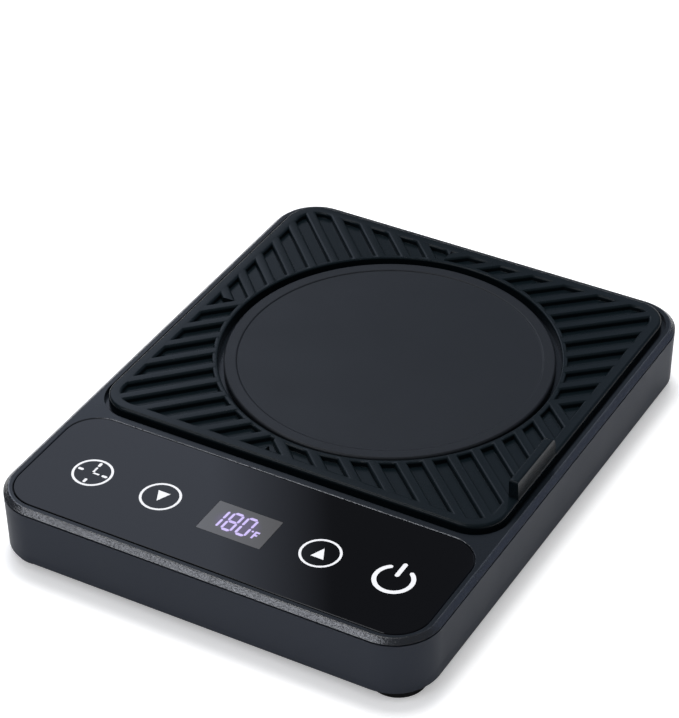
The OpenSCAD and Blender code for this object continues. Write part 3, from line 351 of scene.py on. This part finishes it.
# Zinc plate: pale, half bright and faintly streaked
zinc_steel = metal("zinc_plated_steel", "#b9bcc0", 0.32, 0.6)
finish(zinc_steel, "housing_screws", "power_board_screws", "touch_board_screws", "plate_screws",
       "cord_clamp_screws")


# ---------------------------------------------------------------- cord gland and clamp
# A soft rubber gland in the back wall is where a mains lead goes in. A nylon bar, held by two
# screws, clamps the lead inside.

# Soft rubber is matt, and moulded nylon has a low even shine
finish(moulded_plastic("gland_rubber", "#191a1b", 0.7, 0.4, 0.015, 1.45), "cord_gland")
finish(moulded_plastic("black_nylon", "#202022", 0.5, 0.35, 0.01, 1.53), "cord_clamp")


# ---------------------------------------------------------------- power board
# A green glass-fibre board screwed to the tub's posts. Its parts make the low voltage and switch
# the heater: transformer, capacitors, fuse, varistor, and a triac on its bent aluminium heat sink.


def board_laminate():
    """Glossy green solder mask over glass fibre, with copper runs as paler bands."""
    run_mm = 3.0
    material, tree = new_material("green_solder_mask")
    place = add(tree, "ShaderNodeTexCoord")
    runs = add(tree, "ShaderNodeTexVoronoi",
               {"Vector": place.outputs["Object"], "Scale": 1.0 / (run_mm * MM)},
               distance="MANHATTAN")
    tone = add(tree, "ShaderNodeMapRange",
               {"Value": runs.outputs["Distance"], "From Min": 0.25, "From Max": 0.35})
    colour = add(tree, "ShaderNodeMix", {"Factor": tone.outputs[0]}, data_type="RGBA")
    colour.inputs[6].default_value = srgb("#1b6b3c")
    colour.inputs[7].default_value = srgb("#12502b")
    shade = add(tree, "ShaderNodeBsdfPrincipled",
                {"Base Color": colour.outputs[2], "Roughness": 0.28, "IOR": 1.5})
    add(tree, "ShaderNodeOutputMaterial", {"Surface": shade.outputs[0]})
    return material


solder_mask = board_laminate()
chip_epoxy = moulded_plastic("moulded_epoxy", "#141416", 0.55, 0.3, 0.008)
finish(solder_mask, "power_board", "touch_board")
finish(chip_epoxy, "power_board_chips", "triac", "touch_board_chips")
# Sintered ferrite is grey and stony; tape, sleeve and boxes are smooth and shine
finish(moulded_plastic("sintered_ferrite", "#333437", 0.6, 0.25, 0.02, 1.6), "transformer_core")
finish(moulded_plastic("winding_tape", "#c9a02a", 0.35, 2.0, 0.02), "transformer_winding")
capacitor_sleeve = moulded_plastic("capacitor_sleeve", "#1b2140", 0.25, 1.5, 0.01)
finish(capacitor_sleeve, "mains_capacitor", "output_capacitor")
finish(moulded_plastic("yellow_film_box", "#c4a032", 0.3, 0.6, 0.008), "film_capacitor")
finish(moulded_plastic("brown_fuse_case", "#5c2a1c", 0.3, 0.6, 0.008), "fuse")
finish(moulded_plastic("dipped_blue_epoxy", "#1d4f96", 0.3, 1.2, 0.03), "varistor")
finish(moulded_plastic("green_nylon", "#1f6b3e", 0.45, 0.4, 0.01, 1.53), "mains_terminal")
# Rolled aluminium shows its rolling lines; tin is duller and warmer
finish(metal("mill_aluminium", "#c3c5c8", 0.35, 0.5, (0.1, 1.0, 1.0)), "triac_heat_sink")
finish(metal("tinned_brass", "#c2c1bd", 0.3, 0.6), "heater_terminals")
finish(moulded_plastic("white_ribbon", "#d8d8d6", 0.35, 0.8, 0.01), "ribbon_cable")
finish(moulded_plastic("natural_nylon", "#dedbd0", 0.5, 0.35, 0.01, 1.53), "ribbon_sockets")


# ---------------------------------------------------------------- heater stack
# Under the plate lie a mica heating element, a fibre pad and a pressed steel clamp plate, held by
# screws into the plate's skirt. A sensor and a thermal fuse touch the plate from below.

# Mica is tan and flaky, ceramic fibre white and woolly, galvanised sheet grey with broad spangle
finish(moulded_plastic("mica_sheet", "#b8a27c", 0.5, 1.8, 0.02, 1.58), "heating_element")
finish(moulded_plastic("ceramic_fibre_pad", "#e4e1d8", 0.95, 0.7, 0.15, 1.4), "insulation_pad")
finish(metal("galvanised_sheet", "#aab0b5", 0.38, 2.5), "clamp_plate", "thermal_fuse_clip")
finish(moulded_plastic("heater_lead_silicone", "#8e2a20", 0.55, 0.5, 0.01, 1.42), "heater_leads")
finish(moulded_plastic("sensor_lead_sleeve", "#202022", 0.5, 0.5, 0.01), "thermistor_leads")
finish(metal("nickel_cap", "#c0bfba", 0.28, 0.5), "thermistor")
finish(metal("tin_fuse_case", "#c6c5c0", 0.3, 0.5), "thermal_fuse")


# ---------------------------------------------------------------- heating plate and its seal
# A turned aluminium dish with a low rim, just proud of the cover and sealed all round by a thin
# silicone lip. Its baked non-stick coat is black and matt.

plate_coat = moulded_plastic("baked_matt_coat", "#191c20", 0.45, 0.22, 0.012)
plate = dressed_copy("heating_plate", "plate", "housing", plate_coat, sharp_deg=28.0, edge_mm=0.2)
finish(moulded_plastic("seal_silicone", "#18191b", 0.55, 0.4, 0.01, 1.42), "plate_seal")


# ---------------------------------------------------------------- top cover
# The upper half of the housing, in the same black ABS. Its flats are finely textured, and the
# bevel round its edge is a coarser spark-eroded band that sparkles in the light.

# Moulded ABS: near black, with a low sheen that catches light along its edges
cover_abs = moulded_plastic("cover_moulded_abs", "#11161b", 0.28, 0.30, 0.006, gloss=0.38)
# Spark-eroded ABS: bright grains in a grey band, drawn coarser than the real ones so that they show
bevel_grain = moulded_plastic("spark_eroded_bevel", "#181c21", 0.22, 0.45, 0.12, ior=1.8,
                              gloss=0.95)
cover_top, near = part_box("top_cover")[1].z, 0.05 * MM
recess_half_x, recess_front, recess_rear = 57.4 * MM, -75.0 * MM, -35.9 * MM
bevel_w, bevel_zone = 1.35 * MM, 1.6 * MM
lip_z, lip_rise = 18.0 * MM, 0.20 * MM


def at_top_edge(place):
    """True on the top edge of the glass panel's recess, and on that of the outer bevel."""
    in_recess = abs(place.x) < recess_half_x and recess_front < place.y < recess_rear
    on_bevel = abs(inset_of(place)[0] - bevel_w) < near
    return abs(place.z - cover_top) < 0.01 * MM and (in_recess or on_bevel)


cover = dressed_copy("top_cover", "cover", "housing", cover_abs, edge_mm=0.10, chamfer_mm=0.17,
                     is_chamfered=at_top_edge)
cover.data.materials.append(bevel_grain)
for face in cover.data.polygons:
    outermost = inset_of(face.center)[0] < bevel_zone and face.center.z > cover_top - bevel_zone
    if outermost and 0.3 < face.normal.z < 0.9:
        face.material_index = 1
# The lip over the tub is raised a little, which narrows the dark line between the two halves
for vertex in cover.data.vertices:
    if abs(vertex.co.z - lip_z) < 0.02 * MM and inset_of(vertex.co)[0] < near:
        vertex.co.z += lip_rise


# ---------------------------------------------------------------- touch board
# A small green board screwed under the cover, with a coil spring below each touch sign, a buzzer
# and the block of digit lamps. Tape on the cover round it holds the glass.

# Drawn steel is bright along the wire; the display block is plain grey and matt
finish(moulded_plastic("buzzer_case", "#151516", 0.4, 0.4, 0.01), "buzzer")
finish(metal("drawn_spring_steel", "#c2c4c8", 0.22, 0.4), "touch_springs")
finish(moulded_plastic("display_block", "#9c9ca0", 0.5, 0.4, 0.01), "display_module")
finish(moulded_plastic("adhesive_film", "#28282a", 0.6, 0.8, 0.01), "panel_adhesive")


# ---------------------------------------------------------------- glass panel
# One pane of glass with polished faces and ground edges, printed black on its back. It is stuck
# into the cover's front recess with double-sided tape.


# Back-printed glass: a black ground under a mirror surface that is faintly smeared
glass_black, tree = new_material("back_printed_glass")
smear_mm = 25.0
place = add(tree, "ShaderNodeTexCoord")
smear = add(tree, "ShaderNodeTexNoise",
            {"Vector": place.outputs["Object"], "Scale": 1.0 / (smear_mm * MM), "Detail": 4.0})
rough = add(tree, "ShaderNodeMapRange", {"Value": smear.outputs[0], "To Min": 0.02, "To Max": 0.06})
shade = add(tree, "ShaderNodeBsdfPrincipled",
            {"Base Color": srgb("#0c0d10"), "Roughness": rough.outputs[0],
             "Specular IOR Level": 0.31})
add(tree, "ShaderNodeOutputMaterial", {"Surface": shade.outputs[0]})
glass = dressed_copy("panel_glass", "glass", "housing", glass_black, edge_mm=0.12)


# ---------------------------------------------------------------- display window
# A window of smoke-grey plastic set flush in the glass. Lit seven-segment digits show through it,
# drawn as thin plates of light on its face.

panel_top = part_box("panel_glass")[1].z / MM
window_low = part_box("display_window")[0] / MM

# Smoke-grey plastic: a warm grey sheen. The light that the digits scatter in it fades round them
window_grey, tree = new_material("smoke_window")
cloud_mm, halo_strength = 12.0, 0.07
halo_mid, halo_half = (window_low.x + 8.3, window_low.y + 5.75), (7.0, 4.6)
place = add(tree, "ShaderNodeTexCoord")
cloud = add(tree, "ShaderNodeTexNoise",
            {"Vector": place.outputs["Object"], "Scale": 1.0 / (cloud_mm * MM), "Detail": 2.0})
tone = add(tree, "ShaderNodeMix", {"Factor": cloud.outputs[0]}, data_type="RGBA")
tone.inputs[6].default_value = srgb("#403d38")
tone.inputs[7].default_value = srgb("#474440")
round_digits = add(tree, "ShaderNodeMapping",
                   {"Vector": place.outputs["Object"],
                    "Location": [-mid / half for mid, half in zip(halo_mid, halo_half)] + [0.0],
                    "Scale": [1.0 / (half * MM) for half in halo_half] + [0.0]})
nearness = add(tree, "ShaderNodeTexGradient", {"Vector": round_digits.outputs[0]},
               gradient_type="SPHERICAL")
halo = add(tree, "ShaderNodeMapRange",
           {"Value": nearness.outputs[1], "From Max": 0.5, "To Max": halo_strength},
           interpolation_type="SMOOTHSTEP")
shade = add(tree, "ShaderNodeBsdfPrincipled",
            {"Base Color": tone.outputs[2], "Roughness": 0.12, "Specular IOR Level": 1.0,
             "Emission Color": srgb("#a55cff"), "Emission Strength": halo.outputs[0]})
add(tree, "ShaderNodeOutputMaterial", {"Surface": shade.outputs[0]})
finish(window_grey, "display_window")


def flat_print(name, shapes, material):
    """Thin printed shapes on the panel, given as polygons in mm, each a closed plate."""
    gap, thick = 0.012, 0.02
    print_low, print_high = panel_top + gap, panel_top + gap + thick
    verts, faces = [], []
    for outline in shapes:
        count, low = len(outline), len(verts)
        high = low + count
        verts += [(x * MM, y * MM, z * MM) for z in (print_low, print_high) for x, y in outline]
        faces += [tuple(high + i for i in range(count)),
                  tuple(low + i for i in reversed(range(count)))]
        faces += [(low + i, low + (i + 1) % count, high + (i + 1) % count, high + i)
                  for i in range(count)]
    piece = add_mesh(name, verts, faces)
    piece.data.materials.append(material)
    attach(piece, "housing")
    return piece


# Light-emitting bars behind diffusing film: pale lavender, a little uneven
digit_glow, tree = new_material("lavender_light")
core_mm = 0.8
place = add(tree, "ShaderNodeTexCoord")
core = add(tree, "ShaderNodeTexNoise",
           {"Vector": place.outputs["Object"], "Scale": 1.0 / (core_mm * MM), "Detail": 1.0})
tone = add(tree, "ShaderNodeMix", {"Factor": core.outputs[0]}, data_type="RGBA")
tone.inputs[6].default_value = srgb("#bfa8ee")
tone.inputs[7].default_value = srgb("#e2d8fb")
shade = add(tree, "ShaderNodeBsdfPrincipled",
            {"Base Color": srgb("#6a6088"), "Roughness": 0.3, "Emission Color": tone.outputs[2],
             "Emission Strength": 0.8})
add(tree, "ShaderNodeOutputMaterial", {"Surface": shade.outputs[0]})

digit_h, digit_w, digit_pitch, slant = 6.5, 2.5, 3.94, 0.04
upright_stroke, level_stroke, segment_gap = 0.66, 0.86, 0.10


def segment(x0, y0, x1, y1, width):
    """One lit bar with pointed ends, from one corner point to another."""
    a, b = Vector((x0, y0)), Vector((x1, y1))
    along = (b - a).normalized()
    side = Vector((-along.y, along.x)) * width / 2
    a, b = a + along * segment_gap, b - along * segment_gap
    tip = along * width / 2
    return [a, a + tip - side, b - tip - side, b, b - tip + side, a + tip + side]


def digit(x, y, lit):
    """A seven-segment digit with its lower left corner at x, y; lit names its lit bars."""
    high, mid, wide = digit_h, digit_h / 2, digit_w
    ends = {"a": (0, high, wide, high), "b": (wide, mid, wide, high), "c": (wide, 0, wide, mid),
            "d": (0, 0, wide, 0), "e": (0, 0, 0, mid), "f": (0, mid, 0, high),
            "g": (0, mid, wide, mid)}
    strokes = {name: level_stroke if name in "adg" else upright_stroke for name in ends}
    return [[(x + p.x + slant * p.y, y + p.y) for p in segment(*ends[name], strokes[name])]
            for name in lit]


# Three digits, then a small degree sign and the unit's letter
first_x, first_y = window_low.x + 1.63, window_low.y + 2.5
shown = [shape for n, lit in enumerate(("bc", "abcdefg", "abcdef"))
         for shape in digit(first_x + n * digit_pitch, first_y, lit)]
unit_x, unit_y = first_x + 12.0, first_y + 0.15
unit_letter = [(0.0, 0.0), (0.55, 0.0), (0.6, 1.05), (1.2, 1.05), (1.25, 1.6), (0.65, 1.6),
               (0.67, 2.15), (1.35, 2.15), (1.4, 2.75), (0.1, 2.75)]
shown.append([(unit_x + x, unit_y + y) for x, y in unit_letter])
degree_x, degree_y, degree_r = unit_x - 0.55, unit_y + 2.35, 0.32
shown.append([(degree_x + degree_r * math.cos(a), degree_y + degree_r * math.sin(a))
              for a in (math.pi / 5 * i for i in range(10))])
flat_print("display_digits", shown, digit_glow)


# ---------------------------------------------------------------- touch signs
# Four signs screen-printed on the glass in white ceramic ink: a clock, down, up, and on and off.
# Each lies over its touch spring.

# Fired ceramic ink: clean white, smooth and half glossy
sign_ink = moulded_plastic("white_ceramic_ink", "#fbfbfc", 0.35, 0.25, 0.002)
sign_mid_x, sign_y = 0.6, -56.65
clock_x, down_x, up_x, power_x = (sign_mid_x + x for x in (-42.2, -22.45, 22.45, 42.25))
ring_r, ring_stroke = 4.95, 0.64
mark_in, mark_out, mark_stroke = 3.05, 3.85, 0.8
long_hand, short_hand, hand_stroke = 2.05, 1.7, 0.55
power_r, power_stroke, power_bar_low, power_bar_high = 4.7, 1.16, 1.65, 5.85


def ring_points(x, y, radius, start=0.0, end=360.0, steps=64):
    """Points along part of a circle, with the angles in degrees."""
    return [(x + radius * math.cos(a), y + radius * math.sin(a))
            for a in (math.radians(start + (end - start) * i / steps) for i in range(steps + 1))]


def ring(x, y, radius, width):
    """A full ring as short four-sided plates, so that it keeps its hole."""
    outer, inner = (ring_points(x, y, radius + side * width / 2) for side in (1, -1))
    return [[outer[i], outer[i + 1], inner[i + 1], inner[i]] for i in range(len(outer) - 1)]


def open_ring(x, y, radius, width, start, end):
    """A round-ended band along part of a circle, as one outline."""
    outline = ring_points(x, y, radius + width / 2, start, end)
    end_mid, start_mid = (ring_points(x, y, radius, angle, angle, 1)[0] for angle in (end, start))
    outline += ring_points(*end_mid, width / 2, end, end + 180, 12)[1:-1]
    outline += ring_points(x, y, radius - width / 2, end, start)
    outline += ring_points(*start_mid, width / 2, start + 180, start + 360, 12)[1:-1]
    return outline


def bar(x0, y0, x1, y1, width):
    """A round-ended straight stroke."""
    steps = 6
    a, b = Vector((x0, y0)), Vector((x1, y1))
    across = math.atan2(b.y - a.y, b.x - a.x) + math.pi / 2
    angles = [(p, first + math.pi * i / steps) for p, first in ((b, across - math.pi), (a, across))
              for i in range(steps + 1)]
    return [tuple(p + Vector((math.cos(angle), math.sin(angle))) * width / 2)
            for p, angle in angles]


signs = [shape for x in (clock_x, down_x, up_x) for shape in ring(x, sign_y, ring_r, ring_stroke)]
signs += [bar(clock_x + mark_in * dx, sign_y + mark_in * dy,
              clock_x + mark_out * dx, sign_y + mark_out * dy, mark_stroke)
          for dx, dy in ((1, 0), (0, 1), (-1, 0), (0, -1))]
signs += [bar(clock_x, sign_y, clock_x, sign_y + long_hand, hand_stroke),
          bar(clock_x, sign_y, clock_x + short_hand, sign_y, hand_stroke)]
signs += [[(down_x - 1.72, sign_y + 1.95), (down_x, sign_y - 1.8), (down_x + 1.72, sign_y + 1.95)],
          [(up_x - 1.76, sign_y - 1.8), (up_x + 1.76, sign_y - 1.8), (up_x, sign_y + 2.0)]]
signs += [open_ring(power_x, sign_y, power_r, power_stroke, 127, 411),
          bar(power_x, sign_y + power_bar_low, power_x, sign_y + power_bar_high, power_stroke)]
flat_print("touch_signs", signs, sign_ink)


# ---------------------------------------------------------------- silicone mat
# One soft black moulding that lies in the cover's tray and lifts out by its tab. A frame, a low
# ring round the plate, and ribs that fan out from the plate's middle stand on a thin sheet.

mat_low, mat_high = (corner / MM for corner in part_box("silicone_mat"))
mat_mid = Vector(((mat_low.x + mat_high.x) / 2, (mat_low.y + mat_high.y) / 2))
mat_half = Vector((mat_high.x - mat_mid.x, mat_high.y - mat_mid.y))
mat_corner_r, mat_top, mat_edge_r = 8.8, 21.0, 0.9
frame_w, sheet_top, pocket_foot_r = 3.4, 19.5, 0.12
ring_in_r, ring_out_r, ring_edge_r = 44.7, 46.2, 0.45
rib_pitch, rib_w, rib_edge_r = 6.4, 3.0, 0.7
quarters_meet = Vector((-7.9, 1.5))
# Each quarter's ribs: side in x and in y, angle in degrees, and a groove's distance off the middle
rib_quarters = ((-1, -1, 45.0, -1.33), (1, -1, -42.0, -3.16), (1, 1, 41.5, -0.84),
                (-1, 1, -45.0, 1.19))
# Moulded silicone: black with a green-blue cast, and soft broad lights along its rounded ribs
mat_silicone = moulded_plastic("moulded_silicone", "#0d1519", 0.27, 0.4, 0.004, gloss=0.24)


def rounded_loop(half, radius, inset=0.0):
    """Points of a rounded rectangle, anticlockwise, with the same count whatever the inset is."""
    side_steps, corner_steps = 26, 14
    points = []
    for sx, sy, start in ((1, 1, 0), (-1, 1, 90), (-1, -1, 180), (1, -1, 270)):
        centre = Vector((sx * (half.x - radius), sy * (half.y - radius)))
        arc = [centre + Vector((math.cos(a), math.sin(a))) * (radius - inset)
               for a in (math.radians(start + 90 * i / corner_steps)
                         for i in range(corner_steps + 1))]
        if points:
            points += [points[-1].lerp(arc[0], i / side_steps) for i in range(1, side_steps)]
        points += arc
    last, first = points[-1], points[0]
    return points + [last.lerp(first, i / side_steps) for i in range(1, side_steps)]


def lofted(name, loops, round_trip=True):
    """A closed skin through loops of equal count, back to the first one or capped at both ends."""
    count = len(loops[0])
    verts = [point for loop in loops for point in loop]
    rows = len(loops)
    faces = [(r * count + i, r * count + (i + 1) % count,
              (r + 1) % rows * count + (i + 1) % count, (r + 1) % rows * count + i)
             for r in range(rows if round_trip else rows - 1) for i in range(count)]
    if not round_trip:
        faces += [tuple(reversed(range(count))), tuple(range((rows - 1) * count, rows * count))]
    piece = add_mesh(name, [tuple(c * MM for c in point) for point in verts], faces)
    work = bmesh.new()
    work.from_mesh(piece.data)
    bmesh.ops.recalc_face_normals(work, faces=work.faces)
    work.to_mesh(piece.data)
    work.free()
    return piece


def quarter_round(radius):
    """A quarter turn as (inward, downward) pairs, from the wall up to the flat."""
    steps = 4
    return [(radius * (1 - math.cos(a)), radius * (1 - math.sin(a)))
            for a in (math.pi / 2 * i / steps for i in range(steps + 1))]


ways_out = [point.normalized() for point in rounded_loop(mat_half, mat_corner_r)]


def mat_loop(inset, z):
    """The mat's outline drawn in by inset, at height z."""
    points = rounded_loop(mat_half, mat_corner_r, inset)
    return [(mat_mid.x + p.x, mat_mid.y + p.y, z) for p in points]


def plate_loop(radius, z):
    """A circle round the plate's middle, its points in the same directions as the outline's."""
    return [(mat_mid.x + way.x * radius, mat_mid.y + way.y * radius, z) for way in ways_out]


# The frame, the sheet between frame and ring, the ring, and back underneath to the mat's edge
ring_top = mat_top - 0.05
base = lofted("mat_base", (
    [mat_loop(0, mat_low.z)]
    + [mat_loop(i, mat_top - d) for i, d in quarter_round(mat_edge_r)]
    + [mat_loop(frame_w - i, mat_top - d) for i, d in reversed(quarter_round(rib_edge_r))]
    + [mat_loop(frame_w + i, sheet_top + d) for i, d in quarter_round(pocket_foot_r)]
    + [plate_loop(ring_out_r + i, sheet_top + d) for i, d in reversed(quarter_round(pocket_foot_r))]
    + [plate_loop(ring_out_r - i, ring_top - d) for i, d in quarter_round(ring_edge_r)]
    + [plate_loop(ring_in_r + i, ring_top - d) for i, d in reversed(quarter_round(ring_edge_r))]
    + [plate_loop(ring_in_r, mat_low.z)]))

# One long rib, with a rounded top and a foot that runs into the sheet
rib_foot_z, rib_top, rib_reach = mat_low.z + 0.6, mat_top - 0.02, 90.0
rib_side = ([(rib_w / 2 + pocket_foot_r, rib_foot_z)]
            + [(rib_w / 2 + i, sheet_top + d) for i, d in reversed(quarter_round(pocket_foot_r))]
            + [(rib_w / 2 - i, rib_top - d) for i, d in quarter_round(rib_edge_r)])
rib_section = rib_side + [(-y, z) for y, z in reversed(rib_side)]
rib_bar = lofted("rib_bar", [[(x, y, z) for y, z in rib_section] for x in (-rib_reach, rib_reach)],
                 round_trip=False)


def quarter_area(sx, sy):
    """The block that a quarter's ribs are kept to, from within the ring to within the frame."""
    overlap, inside = 0.03, frame_w - 0.8
    corner_steps, ring_steps = 10, 40
    reach = mat_half - Vector((inside, inside))
    radius = mat_corner_r - inside
    corner = reach - Vector((radius, radius))
    side_x, side_y = quarters_meet.x - sx * overlap, quarters_meet.y - sy * overlap
    edge = [(side_x, sy * reach.y)]
    edge += [(sx * (corner.x + radius * math.sin(a)), sy * (corner.y + radius * math.cos(a)))
             for a in (math.pi / 2 * i / corner_steps for i in range(corner_steps + 1))]
    edge += [(sx * reach.x, side_y)]
    inner_r = (ring_in_r + ring_out_r) / 2
    start = math.atan2(side_y, sx * math.sqrt(inner_r**2 - side_y**2))
    end = math.atan2(sy * math.sqrt(inner_r**2 - side_x**2), side_x)
    turn = (end - start + math.pi) % (2 * math.pi) - math.pi
    edge += [(inner_r * math.cos(a), inner_r * math.sin(a))
             for a in (start + turn * i / ring_steps for i in range(ring_steps + 1))]
    return lofted("rib_area", [[(mat_mid.x + x, mat_mid.y + y, z) for x, y in edge]
                               for z in (mat_low.z + 0.3, mat_top + 2.0)], round_trip=False)


# The ribs of a quarter: a row of long ribs, turned to the quarter's angle and cut to its area
ribs = bpy.data.node_groups.new("ribs_of_a_quarter", "GeometryNodeTree")
ribs.interface.new_socket("Geometry", in_out="INPUT", socket_type="NodeSocketGeometry")
rib_kinds = {"Bar": "Object", "Area": "Object", "Count": "Int", "Pitch": "Float",
             "First bar": "Float", "Angle": "Float", "Middle": "Vector", "Material": "Material"}
rib_inputs = {label: ribs.interface.new_socket(label, in_out="INPUT",
                                               socket_type="NodeSocket" + kind).identifier
              for label, kind in rib_kinds.items()}
ribs.interface.new_socket("Geometry", in_out="OUTPUT", socket_type="NodeSocketGeometry")
given = add(ribs, "NodeGroupInput").outputs
first_bar = add(ribs, "ShaderNodeCombineXYZ", {"Y": given["First bar"]})
pitch = add(ribs, "ShaderNodeCombineXYZ", {"Y": given["Pitch"]})
row = add(ribs, "GeometryNodeMeshLine",
          {"Count": given["Count"], "Start Location": first_bar.outputs[0],
           "Offset": pitch.outputs[0]})
long_bar = add(ribs, "GeometryNodeObjectInfo", {"Object": given["Bar"]})
bars = add(ribs, "GeometryNodeInstanceOnPoints",
           {"Points": row.outputs[0], "Instance": long_bar.outputs["Geometry"]})
turn = add(ribs, "ShaderNodeCombineXYZ", {"Z": given["Angle"]})
laid = add(ribs, "GeometryNodeTransform",
           {"Geometry": bars.outputs[0], "Translation": given["Middle"],
            "Rotation": turn.outputs[0]})
solid = add(ribs, "GeometryNodeRealizeInstances", {"Geometry": laid.outputs[0]})
area = add(ribs, "GeometryNodeObjectInfo", {"Object": given["Area"]})
cut = add(ribs, "GeometryNodeMeshBoolean", operation="INTERSECT", solver="MANIFOLD")
ribs.links.new(area.outputs["Geometry"], cut.inputs["Mesh 2"])
ribs.links.new(solid.outputs[0], cut.inputs["Mesh 2"])
painted = add(ribs, "GeometryNodeSetMaterial",
              {"Geometry": cut.outputs[0], "Material": given["Material"]})
add(ribs, "NodeGroupOutput", {0: painted.outputs[0]})


def made_plain(piece, name):
    """The evaluated shape of a piece as a plain mesh object; the piece itself is removed."""
    bpy.context.view_layer.update()
    depsgraph = bpy.context.evaluated_depsgraph_get()
    mesh = bpy.data.meshes.new_from_object(piece.evaluated_get(depsgraph))
    result = bpy.data.objects.new(name, mesh)
    scene.collection.objects.link(result)
    bpy.data.objects.remove(piece)
    return result


# The tab: its inner face stands on the frame, and its outer face sweeps down to the mat's edge
tab_in_x, tab_out_x, tab_foot_x = mat_high.x - 2.9, mat_high.x - 0.4, mat_high.x
tab_low_y, tab_high_y, tab_top = -17.6, 3.3, mat_high.z
tab_top_r, tab_front_r, tab_rear_r = 0.6, 0.8, 2.6
sweep_low, sweep_high = mat_top - 0.5, tab_top - 1.2
sweep = [(tab_foot_x - (tab_foot_x - tab_out_x) * math.sin(a),
          sweep_low + (sweep_high - sweep_low) * (1 - math.cos(a)))
         for a in (math.pi / 2 * i / 8 for i in range(9))]
crown_ends = ((tab_out_x - tab_top_r, range(1, 7)), (tab_in_x + tab_top_r, range(5, 11)))
crown = [(mid_x + tab_top_r * math.cos(a), tab_top - tab_top_r + tab_top_r * math.sin(a))
         for mid_x, steps in crown_ends for a in (math.pi / 10 * i for i in steps)]
across = [(tab_in_x, sheet_top - 1.0), (tab_foot_x - 0.3, sheet_top - 1.0)] + sweep + crown
tab_strip = lofted("tab_strip", [[(x, y, z) for x, z in across] for y in (tab_low_y, tab_high_y)],
                   round_trip=False)
along = ([(tab_low_y, sheet_top - 2.0), (tab_high_y, sheet_top - 2.0)]
         + [(tab_high_y - tab_rear_r * (1 - math.cos(a)), tab_top - tab_rear_r * (1 - math.sin(a)))
            for a in (math.pi / 2 * i / 8 for i in range(9))]
         + [(tab_low_y + tab_front_r * (1 - math.sin(a)), tab_top - tab_front_r * (1 - math.cos(a)))
            for a in (math.pi / 2 * i / 5 for i in range(6))])
tab_side = lofted("tab_side", [[(x, y, z) for y, z in along]
                               for x in (tab_in_x - 4, tab_foot_x + 4)], round_trip=False)


def merge(piece, other, operation):
    """Joins another closed shape to a piece, or keeps what they share."""
    step = piece.modifiers.new(operation.lower(), "BOOLEAN")
    step.operation, step.solver, step.object = operation, "MANIFOLD", other


merge(tab_strip, tab_side, "INTERSECT")
tab = made_plain(tab_strip, "tab")
bpy.data.objects.remove(tab_side)

mat_parts, rib_count = [], 26
for sx, sy, angle, off in rib_quarters:
    area_block = quarter_area(sx, sy)
    host = add_mesh("quarter_ribs", [], [])
    grow = host.modifiers.new("ribs", "NODES")
    grow.node_group = ribs
    first_y = off + (0.5 - rib_count // 2) * rib_pitch
    values = {"Bar": rib_bar, "Area": area_block, "Count": rib_count, "Pitch": rib_pitch * MM,
              "First bar": first_y * MM, "Angle": math.radians(angle),
              "Middle": (mat_mid.x * MM, mat_mid.y * MM, 0.0), "Material": mat_silicone}
    for label, value in values.items():
        grow[rib_inputs[label]] = value
    mat_parts.append(made_plain(host, "ribs_of_quarter"))
    bpy.data.objects.remove(area_block)
bpy.data.objects.remove(rib_bar)

mat_parts.append(tab)
for part in mat_parts:
    merge(base, part, "UNION")
mat = made_plain(base, "mat")
for part in mat_parts:
    bpy.data.objects.remove(part)
mat.data.materials.clear()
mat.data.materials.append(mat_silicone)
for face in mat.data.polygons:
    face.use_smooth = True
mat.data.set_sharp_from_angle(angle=math.radians(40))
mat.modifiers.new("flat_faces_stay_flat", "WEIGHTED_NORMAL").keep_sharp = True
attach(mat, "mat")
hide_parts("silicone_mat")
